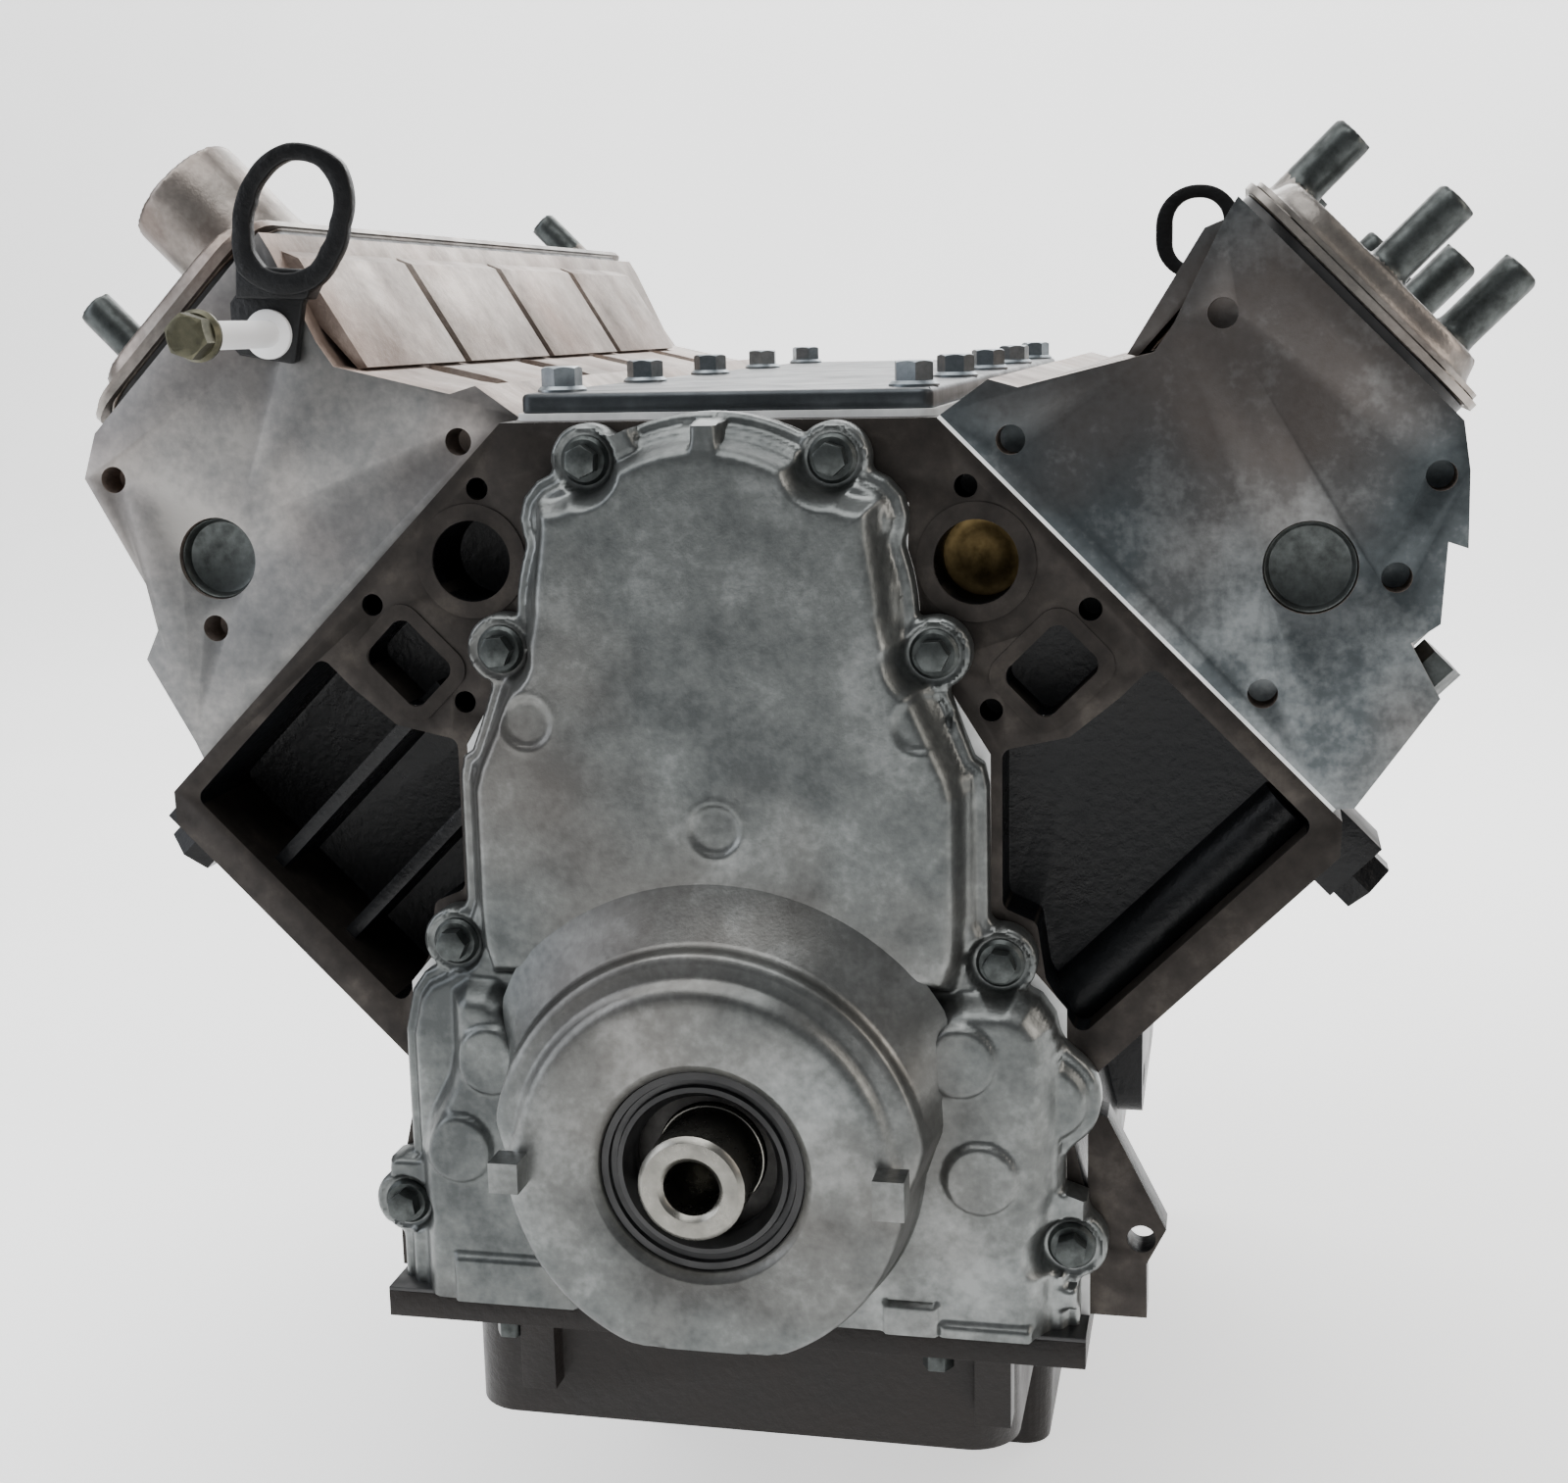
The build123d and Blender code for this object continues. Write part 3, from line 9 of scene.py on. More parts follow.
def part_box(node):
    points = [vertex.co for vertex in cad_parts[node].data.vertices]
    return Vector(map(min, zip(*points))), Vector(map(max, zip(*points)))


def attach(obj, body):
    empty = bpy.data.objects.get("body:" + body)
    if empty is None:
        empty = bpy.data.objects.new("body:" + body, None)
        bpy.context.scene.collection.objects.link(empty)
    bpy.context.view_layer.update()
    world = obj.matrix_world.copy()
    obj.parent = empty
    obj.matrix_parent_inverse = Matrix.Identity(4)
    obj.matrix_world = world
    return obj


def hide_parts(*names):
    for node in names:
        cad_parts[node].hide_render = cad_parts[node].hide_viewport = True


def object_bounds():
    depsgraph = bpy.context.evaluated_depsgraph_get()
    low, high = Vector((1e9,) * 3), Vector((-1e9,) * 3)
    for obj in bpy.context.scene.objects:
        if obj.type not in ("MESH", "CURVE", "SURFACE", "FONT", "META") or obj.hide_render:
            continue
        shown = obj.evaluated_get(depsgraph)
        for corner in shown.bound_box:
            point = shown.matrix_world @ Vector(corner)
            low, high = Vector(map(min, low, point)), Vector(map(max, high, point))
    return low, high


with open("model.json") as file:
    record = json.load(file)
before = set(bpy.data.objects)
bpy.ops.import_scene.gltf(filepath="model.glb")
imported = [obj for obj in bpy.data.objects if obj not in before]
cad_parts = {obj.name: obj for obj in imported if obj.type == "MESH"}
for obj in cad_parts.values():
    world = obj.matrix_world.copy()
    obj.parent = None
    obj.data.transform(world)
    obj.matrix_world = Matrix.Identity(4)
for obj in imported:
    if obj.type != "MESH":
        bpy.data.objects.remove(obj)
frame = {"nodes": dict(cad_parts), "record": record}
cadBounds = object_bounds()
mm = 0.001
cos45 = cos(radians(45))

# Layout shared by the pieces, in millimetres; "back" runs rearwards from the block's front face
layout = {
    "deckHeight": 234.7,
    "boltPitch": 111.76,
    "firstMain": 33.9,
    "bankOffset": 24.13,
    "headLength": 489.87,
}
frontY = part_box("cylinder_block")[0].y
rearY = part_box("cylinder_block")[1].y
headFront = {1: 0.0, -1: layout["bankOffset"]}


def place(x, z, back):
    return Vector((x * mm, frontY + back * mm, z * mm))


def bankPlace(side, u, v, back):
    # u runs outwards along the deck, v up the bore from the deck
    along = layout["deckHeight"] + v
    return place(side * (u + along) * cos45, (along - u) * cos45, back)


def bankAxes(side):
    # outwards along the deck, up the bore
    return Vector((side * cos45, 0, -cos45)), Vector((side * cos45, 0, cos45))


# Colours are sRGB hex codes, turned to linear here
def linear(code):
    def channel(value):
        return value / 12.92 if value <= 0.04045 else ((value + 0.055) / 1.055) ** 2.4
    return tuple(channel(int(code[i:i + 2], 16) / 255) for i in (0, 2, 4)) + (1.0,)


def addNode(tree, kind, inputs=None, **settings):
    item = tree.nodes.new(kind)
    for key, value in settings.items():
        setattr(item, key, value)
    for key, value in (inputs or {}).items():
        if isinstance(value, bpy.types.NodeSocket):
            tree.links.new(value, item.inputs[key])
        else:
            item.inputs[key].default_value = value
    return item


def newMaterial(name, settings):
    material = bpy.data.materials.new(name)
    material.use_nodes = True
    tree = material.node_tree
    tree.nodes.clear()
    shader = addNode(tree, "ShaderNodeBsdfPrincipled", settings)
    addNode(tree, "ShaderNodeOutputMaterial", {"Surface": shader.outputs[0]})
    coords = addNode(tree, "ShaderNodeTexCoord").outputs["Object"]
    return material, tree, shader, coords


def noiseOf(tree, coords, size, detail=4.0, roughness=0.55, shift=0.0, stretch=(1, 1, 1)):
    # size is the width of a patch in millimetres
    moved = addNode(tree, "ShaderNodeMapping", {
        "Vector": coords, "Location": (shift, shift, shift), "Scale": stretch})
    return addNode(tree, "ShaderNodeTexNoise", {
        "Vector": moved.outputs[0], "Scale": 1000 / size, "Detail": detail, "Roughness": roughness}).outputs["Fac"]


def rampOf(tree, factor, stops):
    ramp = addNode(tree, "ShaderNodeValToRGB", {"Fac": factor})
    ramp.color_ramp.elements[0].position, ramp.color_ramp.elements[0].color = stops[0][0], linear(stops[0][1])
    ramp.color_ramp.elements[1].position, ramp.color_ramp.elements[1].color = stops[-1][0], linear(stops[-1][1])
    for position, code in stops[1:-1]:
        ramp.color_ramp.elements.new(position).color = linear(code)
    return ramp.outputs["Color"]


def mixOf(tree, factor, first, second):
    mix = addNode(tree, "ShaderNodeMix", data_type="RGBA")
    for key, value in ((0, factor), (6, first), (7, second)):
        if isinstance(value, bpy.types.NodeSocket):
            tree.links.new(value, mix.inputs[key])
        else:
            mix.inputs[key].default_value = value
    return mix.outputs[2]


def rangeOf(tree, value, low, high, newLow, newHigh):
    return addNode(tree, "ShaderNodeMapRange", {
        "Value": value, "From Min": low, "From Max": high, "To Min": newLow, "To Max": newHigh}).outputs[0]


def bumpOf(tree, height, depth):
    # depth is the relief in millimetres
    return addNode(tree, "ShaderNodeBump", {"Height": height, "Distance": depth * mm, "Strength": 1.0}).outputs[0]


# Cast aluminium, blasted and handled: cloudy grey with darker oily patches and a warm cast
castLooks = {
    # The two head looks below are one machined face metal in two tones: the +X head's is painted darker as painted
    # shade
    "headRight": {"stops": [(0.1, "5f6060"), (0.5, "777776"), (0.9, "93918e")], "warm": "82695d", "warmth": 0.3,
                  "rough": (0.36, 0.5), "shift": 3.1, "grain": 0.05},
    "headLeftPaintedShade": {"stops": [(0.1, "34393b"), (0.5, "484d4f"), (0.9, "767a7b")], "warm": "77655a", "warmth": 0.3,
                 "rough": (0.32, 0.46), "shift": 8.4, "grain": 0.05},
    "headCast": {"stops": [(0.1, "6e655f"), (0.5, "8a817a"), (0.9, "a49b94")], "warm": "957463", "warmth": 0.35,
                 "rough": (0.42, 0.58), "shift": 5.2, "grain": 0.22},
    "timingCover": {"stops": [(0.1, "4a4d4d"), (0.5, "636665"), (0.9, "848786")], "warm": "7d6f66", "warmth": 0.2,
                    "rough": (0.3, 0.42), "shift": 1.7, "grain": 0.07},
    "rockerCover": {"stops": [(0.1, "56524f"), (0.5, "74706b"), (0.9, "96908a")], "warm": "8a6552", "warmth": 0.4,
                    "rough": (0.3, 0.44), "shift": 9.6, "grain": 0.1},
}


def castAluminium(name, look):
    material, tree, shader, coords = newMaterial(name, {"Metallic": 0.88, "IOR": 1.5})
    cloud = noiseOf(tree, coords, 120, 4, 0.55, look["shift"])
    blotch = noiseOf(tree, coords, 26, 5, 0.6, look["shift"] + 4)
    speck = noiseOf(tree, coords, 3, 3, 0.5, look["shift"] + 7)
    both = addNode(tree, "ShaderNodeMath", {0: cloud, 1: blotch}, operation="ADD").outputs[0]
    faint = addNode(tree, "ShaderNodeMath", {0: speck, 1: 0.35}, operation="MULTIPLY").outputs[0]
    tone = addNode(tree, "ShaderNodeMath", {0: both, 1: faint}, operation="ADD").outputs[0]
    level = rangeOf(tree, tone, 0.85, 1.5, 0.0, 1.0)
    grey = rampOf(tree, level, look["stops"])
    warmPlace = noiseOf(tree, coords, 130, 3, 0.5, look["shift"] + 11)
    warmShare = rangeOf(tree, warmPlace, 0.48, 0.68, 0.0, look["warmth"])
    colour = mixOf(tree, warmShare, grey, linear(look["warm"]))
    tree.links.new(colour, shader.inputs["Base Color"])
    low, high = look["rough"]
    tree.links.new(rangeOf(tree, both, 0.7, 1.3, high, low), shader.inputs["Roughness"])
    sand = noiseOf(tree, coords, 1.1, 3, 0.6, 2.0)
    tree.links.new(bumpOf(tree, sand, look["grain"]), shader.inputs["Normal"])
    return material


def blackEnamel(name, dark, light, rough):
    # Semi-gloss black enamel over sand-cast iron: the sand's texture shows through the paint
    material, tree, shader, coords = newMaterial(name, {"Metallic": 0.0, "IOR": 1.5,
                                                        "Specular IOR Level": 0.22})
    dust = noiseOf(tree, coords, 45, 6, 0.65)
    tree.links.new(rampOf(tree, dust, [(0.35, dark), (0.7, light)]), shader.inputs["Base Color"])
    tree.links.new(rangeOf(tree, dust, 0.35, 0.7, rough[0], rough[1]), shader.inputs["Roughness"])
    sand = noiseOf(tree, coords, 3.5, 5, 0.65, 6.0)
    tree.links.new(bumpOf(tree, sand, 0.45), shader.inputs["Normal"])
    return material


def machinedMetal(name, stops, rough, metallic, patch=24, lines=None):
    # Milled or turned metal: faint tool lines over a thin oily film
    material, tree, shader, coords = newMaterial(name, {"Metallic": metallic})
    film = noiseOf(tree, coords, patch, 6, 0.65, 12.0)
    tree.links.new(rampOf(tree, film, stops), shader.inputs["Base Color"])
    tree.links.new(rangeOf(tree, film, 0.3, 0.7, rough[1], rough[0]), shader.inputs["Roughness"])
    if lines:
        tool = noiseOf(tree, coords, 1.4, 2, 0.5, 1.0, lines)
        tree.links.new(bumpOf(tree, tool, 0.03), shader.inputs["Normal"])
    return material


def mouldedRubber(name):
    # Moulded nitrile rubber: deep matt black with a soft sheen where oil has wetted it
    material, tree, shader, coords = newMaterial(name, {"Metallic": 0.0, "IOR": 1.52})
    wet = noiseOf(tree, coords, 12, 4, 0.6)
    tree.links.new(rampOf(tree, wet, [(0.35, "0b0b0c"), (0.7, "1b1b1c")]), shader.inputs["Base Color"])
    tree.links.new(rangeOf(tree, wet, 0.35, 0.7, 0.3, 0.62), shader.inputs["Roughness"])
    return material


def pressedFibre(name):
    # Pressed gasket fibre: white sheet with faint grey patches
    material, tree, shader, coords = newMaterial(name, {"Metallic": 0.0, "Roughness": 0.8})
    stain = noiseOf(tree, coords, 20, 5, 0.6)
    tree.links.new(rampOf(tree, stain, [(0.35, "c9cbca"), (0.65, "f0f1f0")]), shader.inputs["Base Color"])
    return material


def makeMaterials():
    looks = {key: castAluminium(key + "CastAluminium", look) for key, look in castLooks.items()}
    looks["enamel"] = blackEnamel("blackEnamelOverCastIron", "050506", "0e1012", (0.24, 0.42))
    # The cast aluminium sump is coloured near-black brown: painted shade under the timing cover
    looks["pan"] = blackEnamel("castAluminiumSumpPaintedShade", "0f0c0a", "1d1815", (0.3, 0.5))
    looks["strap"] = blackEnamel("satinBlackCoatedSteel", "060607", "0f1011", (0.3, 0.42))
    looks["milledIron"] = machinedMetal("milledCastIronOiled", [(0.32, "211e1c"), (0.55, "312d2a"), (0.75, "47423d")],
                                        (0.38, 0.55), 0.75, 18, (1, 1, 0.15))
    looks["turnedSteel"] = machinedMetal("turnedSteel", [(0.3, "6a6964"), (0.7, "93918a")], (0.22, 0.36), 1.0, 14,
                                         (0.3, 3, 0.3))
    looks["zinc"] = machinedMetal("zincPlatedSteel", [(0.3, "6b7277"), (0.7, "8e9599")], (0.28, 0.45), 1.0, 6)
    # This dark steel look also colours the rocker covers' cast-in coil posts: painted reflection
    looks["phosphateAndPaintedReflection"] = machinedMetal("phosphatedSteelAndPaintedReflection", [(0.3, "2f3231"), (0.7, "4f5352")], (0.3, 0.5), 0.85, 5)
    looks["olive"] = machinedMetal("oliveZincPlatedSteel", [(0.3, "3b3a2e"), (0.7, "5f5d4c")], (0.35, 0.5), 0.8, 5)
    looks["plate"] = machinedMetal("rolledSteelPlateOiled", [(0.3, "2c2f31"), (0.7, "4c5053")], (0.3, 0.5), 0.85, 30,
                                   (0.2, 1, 1))
    # Bright colour for the broken edges of machined faces: painted highlight
    looks["brightEdge"] = machinedMetal("chamferPaintedHighlight", [(0.3, "a3a4a2"), (0.7, "cfcfcc")], (0.25, 0.35), 1.0, 6)
    looks["capIron"] = machinedMetal("castIronCaps", [(0.3, "2c2b2a"), (0.7, "4a4846")], (0.5, 0.65), 0.6, 10)
    looks["bearing"] = machinedMetal("bearingMetal", [(0.3, "8f8b84"), (0.7, "b9b4aa")], (0.25, 0.35), 1.0, 10)
    looks["piston"] = machinedMetal("turnedPistonAluminium", [(0.3, "a4a4a2"), (0.7, "c9c9c6")], (0.3, 0.42), 1.0, 10)
    looks["forged"] = machinedMetal("forgedSteelOiled", [(0.3, "4a4947"), (0.7, "77746f")], (0.3, 0.5), 0.9, 10)
    looks["brass"] = machinedMetal("brassPlug", [(0.3, "3f3520"), (0.7, "66573a")], (0.35, 0.5), 1.0, 8)
    looks["rubber"] = mouldedRubber("mouldedNitrileRubber")
    looks["fibre"] = pressedFibre("pressedGasketFibre")
    return looks


looks = makeMaterials()
print("materials ready")

# The record's slot of each carried-over node, and the material that shows it
slotLooks = {
    "block_paint": "enamel", "head_casting": "headCast", "cover_casting": "timingCover",
    "machined_steel": "forged", "zinc_steel": "zinc", "dark_steel": "phosphateAndPaintedReflection", "black_strap": "strap",
    "plate_steel": "plate", "cap_iron": "capIron", "bearing_metal": "bearing", "piston_alloy": "piston",
    "seal_rubber": "rubber", "gasket_fibre": "fibre",
}
for part in frame["record"]["subparts"]:
    mesh = frame["nodes"][part["node"]].data
    mesh.materials.clear()
    mesh.materials.append(looks[slotLooks[part["material_slot"]]])


def copyOf(*nodes):
    shape = bmesh.new()
    for node in nodes:
        shape.from_mesh(frame["nodes"][node].data)
    bmesh.ops.remove_doubles(shape, verts=shape.verts, dist=2e-5)
    return shape


def applyModifiers(piece):
    bpy.context.view_layer.update()
    ready = piece.evaluated_get(bpy.context.evaluated_depsgraph_get())
    mesh = bpy.data.meshes.new_from_object(ready)
    piece.modifiers.clear()
    piece.data = mesh
    mesh.name = piece.name


def newPiece(name, shape, materials):
    mesh = bpy.data.meshes.new(name)
    shape.to_mesh(mesh)
    shape.free()
    for material in materials:
        mesh.materials.append(looks[material])
    piece = bpy.data.objects.new(name, mesh)
    bpy.context.scene.collection.objects.link(piece)
    return piece


def seat(piece, replaced=(), body="engine", angle=35):
    # Shading, body and the nodes that the piece stands for
    piece.data.shade_smooth()
    piece.data.set_sharp_from_angle(angle=radians(angle))
    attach(piece, body)
    if replaced:
        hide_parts(*replaced)
    print(piece.name, len(piece.data.polygons), "faces")
    return piece


def paint(piece, index, rule):
    for face in piece.data.polygons:
        if rule(face.center, face.normal):
            face.material_index = index


# What turns a CAD node into a machined piece with broken edges (angles in degrees)
edgeBreak = {"segments": 2, "flatWithin": 1.2, "sharpFrom": 28.0}


def paintChamfers(piece, index, face, depth):
    # The broken edges round a front face at this y are coloured bright: painted highlight
    paint(piece, index, lambda centre, normal: centre.y < face + depth * mm and -0.9 < normal.y < -0.4)


def machinedCopy(name, node, materials, rule, edge, reshape=None):
    # A CAD node's own shape with broken edges; rule picks a face's material from its centre and normal
    shape = copyOf(node)
    if reshape:
        reshape(shape)
    flat = radians(edgeBreak["flatWithin"])
    bmesh.ops.dissolve_limit(shape, angle_limit=flat, verts=shape.verts, edges=shape.edges)
    for face in shape.faces:
        face.material_index = rule(face.calc_center_median(), face.normal)
    piece = newPiece(name, shape, materials)
    bevel = piece.modifiers.new("edges", "BEVEL")
    bevel.width, bevel.segments = edge * mm, edgeBreak["segments"]
    bevel.limit_method, bevel.angle_limit = "ANGLE", radians(edgeBreak["sharpFrom"])
    applyModifiers(piece)
    return piece


def paintNew(shape, start, index):
    # Material of the faces made since the shape had "start" of them
    shape.faces.ensure_lookup_table()
    for face in shape.faces[start:]:
        face.material_index = index


def castCopy(name, shape, materials, voxel, passes):
    # Voxels join the added forms to the casting, and smoothing leaves fillets
    piece = newPiece(name, shape, materials)
    remesh = piece.modifiers.new("skin", "REMESH")
    remesh.mode, remesh.voxel_size, remesh.use_smooth_shade = "VOXEL", voxel * mm, True
    smooth = piece.modifiers.new("fillets", "SMOOTH")
    smooth.factor, smooth.iterations = 0.5, passes
    applyModifiers(piece)
    return piece


def lathe(shape, profile, centre, axis, count=64):
    # profile: (distance along the axis, radius) in millimetres, closed at both ends when the radius is 0
    axis = axis.normalized()
    first = axis.orthogonal().normalized()
    second = axis.cross(first)
    rings = []
    for along, radius in profile:
        middle = centre + axis * along * mm
        if radius == 0:
            rings.append([shape.verts.new(middle)])
            continue
        rings.append([shape.verts.new(middle + (first * cos(2 * pi * i / count) + second * sin(2 * pi * i / count))
                                      * radius * mm) for i in range(count)])
    for low, high in zip(rings, rings[1:]):
        for i in range(count):
            j = (i + 1) % count
            corners = [low[i % len(low)], low[j % len(low)], high[j % len(high)], high[i % len(high)]]
            unique = list(dict.fromkeys(corners))
            if len(unique) > 2:
                shape.faces.new(unique)
    return shape


def prism(shape, outline, origin, right, up, depth):
    # outline in millimetres on the right/up axes; depth in millimetres along right x up
    out = right.cross(up) * depth * mm
    low = [shape.verts.new(origin + right * x * mm + up * y * mm) for x, y in outline]
    high = [shape.verts.new(v.co + out) for v in low]
    shape.faces.new(low)
    shape.faces.new(list(reversed(high)))
    count = len(low)
    for i in range(count):
        j = (i + 1) % count
        shape.faces.new([low[i], high[i], high[j], low[j]])
    return shape


def ringPrism(shape, outer, inner, origin, right, up, depth):
    # A flat ring between two outlines with the same number of points
    out = right.cross(up) * depth * mm
    loops = []
    for outline, lift in ((outer, 0), (outer, 1), (inner, 1), (inner, 0)):
        loops.append([shape.verts.new(origin + right * x * mm + up * y * mm + out * lift) for x, y in outline])
    for low, high in zip(loops, loops[1:] + loops[:1]):
        for i in range(len(low)):
            j = (i + 1) % len(low)
            shape.faces.new([low[i], low[j], high[j], high[i]])
    return shape


def roundedBox(width, height, radius, count=6):
    # Outline of a rounded rectangle about the origin
    points = []
    for turn, (sx, sy) in enumerate(((1, 1), (-1, 1), (-1, -1), (1, -1))):
        for i in range(count + 1):
            angle = pi / 2 * (turn + i / count)
            points.append((sx * (width / 2 - radius) + radius * cos(angle),
                           sy * (height / 2 - radius) + radius * sin(angle)))
    return points


def recalc(shape):
    bmesh.ops.recalc_face_normals(shape, faces=shape.faces)
    return shape


# Camera at the photograph's place, from its fitted rotation
camera = {
    "place": (0.1790, -1.2482, 0.2874),
    "right": (0.9779, 0.2077, -0.0222),
    "down": (0.0187, -0.1926, -0.9811),
    "forward": (-0.2081, 0.9590, -0.1922),
    "lens": 49.21,
    "sensor": 36.0,
}


def makeCamera():
    eye = bpy.data.cameras.new("photoCamera")
    eye.lens, eye.sensor_width, eye.sensor_fit = camera["lens"], camera["sensor"], "HORIZONTAL"
    eye.clip_start, eye.clip_end = 0.01, 50
    holder = bpy.data.objects.new("photoCamera", eye)
    right, down, forward = (Vector(camera[key]) for key in ("right", "down", "forward"))
    turn = Matrix((right, -down, -forward)).transposed().to_4x4()
    holder.matrix_world = Matrix.Translation(Vector(camera["place"])) @ turn
    bpy.context.scene.collection.objects.link(holder)
    bpy.context.scene.camera = holder


# Soft studio light: a wide box above, a long one on the left, a weak one on the right
studio = {
    "world": ("c9ccd0", 0.42),
    "lamps": [
        ("overheadBox", (-0.25, -0.75, 1.45), (0.0, -0.3, 0.15), (1.7, 1.1), 22.0, "ffffff"),
        ("leftBox", (-1.6, -1.1, 0.7), (0.0, -0.4, 0.1), (0.9, 1.5), 15.0, "f4f7ff"),
        ("rightBox", (1.7, -0.6, 0.8), (0.0, -0.4, 0.1), (0.8, 1.2), 11.0, "fff3e8"),
        ("rearBox", (0.2, 1.3, 1.3), (0.0, -0.2, 0.2), (1.6, 0.8), 18.0, "ffffff"),
        ("backdropBox", (0.0, 1.0, 2.6), (0.0, 3.0, 0.2), (3.0, 1.0), 90.0, "ffffff"),
    ],
    "floorGlow": 0.95,
}


def makeStudio():
    world = bpy.data.worlds.new("studio")
    bpy.context.scene.world = world
    world.use_nodes = True
    backdrop = world.node_tree.nodes["Background"]
    backdrop.inputs["Color"].default_value = linear(studio["world"][0])
    backdrop.inputs["Strength"].default_value = studio["world"][1]
    for name, origin, target, size, power, tint in studio["lamps"]:
        lamp = bpy.data.lights.new(name, "AREA")
        lamp.shape, lamp.size, lamp.size_y = "RECTANGLE", size[0], size[1]
        lamp.energy, lamp.color = power, linear(tint)[:3]
        holder = bpy.data.objects.new(name, lamp)
        holder.location = origin
        holder.rotation_euler = (Vector(target) - Vector(origin)).to_track_quat("-Z", "Y").to_euler()
        bpy.context.scene.collection.objects.link(holder)
    shape = bmesh.new()
    level, reach = cadBounds[0][2], 6.0
    profile = [(-reach, level), (1.8, level)]
    profile += [(1.8 + 1.2 * sin(radians(a)), level + 1.2 - 1.2 * cos(radians(a))) for a in range(10, 91, 10)]
    profile += [(3.0, level + 5)]
    rows = [[shape.verts.new((x, y, z)) for x in (-reach, reach)] for y, z in profile]
    for low, high in zip(rows, rows[1:]):
        shape.faces.new([low[0], low[1], high[1], high[0]])
    mesh = bpy.data.meshes.new("paleFloor")
    shape.to_mesh(mesh)
    shape.free()
    mesh.shade_smooth()
    material, tree, shader, coords = newMaterial("palePaper", {
        "Roughness": 0.85, "Emission Color": linear("ffffff"), "Emission Strength": studio["floorGlow"]})
    fibre = noiseOf(tree, coords, 300, 2, 0.4)
    tree.links.new(rampOf(tree, fibre, [(0.3, "efefee"), (0.7, "f4f4f3")]), shader.inputs["Base Color"])
    mesh.materials.append(material)
    floor = bpy.data.objects.new("paleFloor", mesh)
    bpy.context.scene.collection.objects.link(floor)


makeCamera()
makeStudio()
print("camera and studio ready")


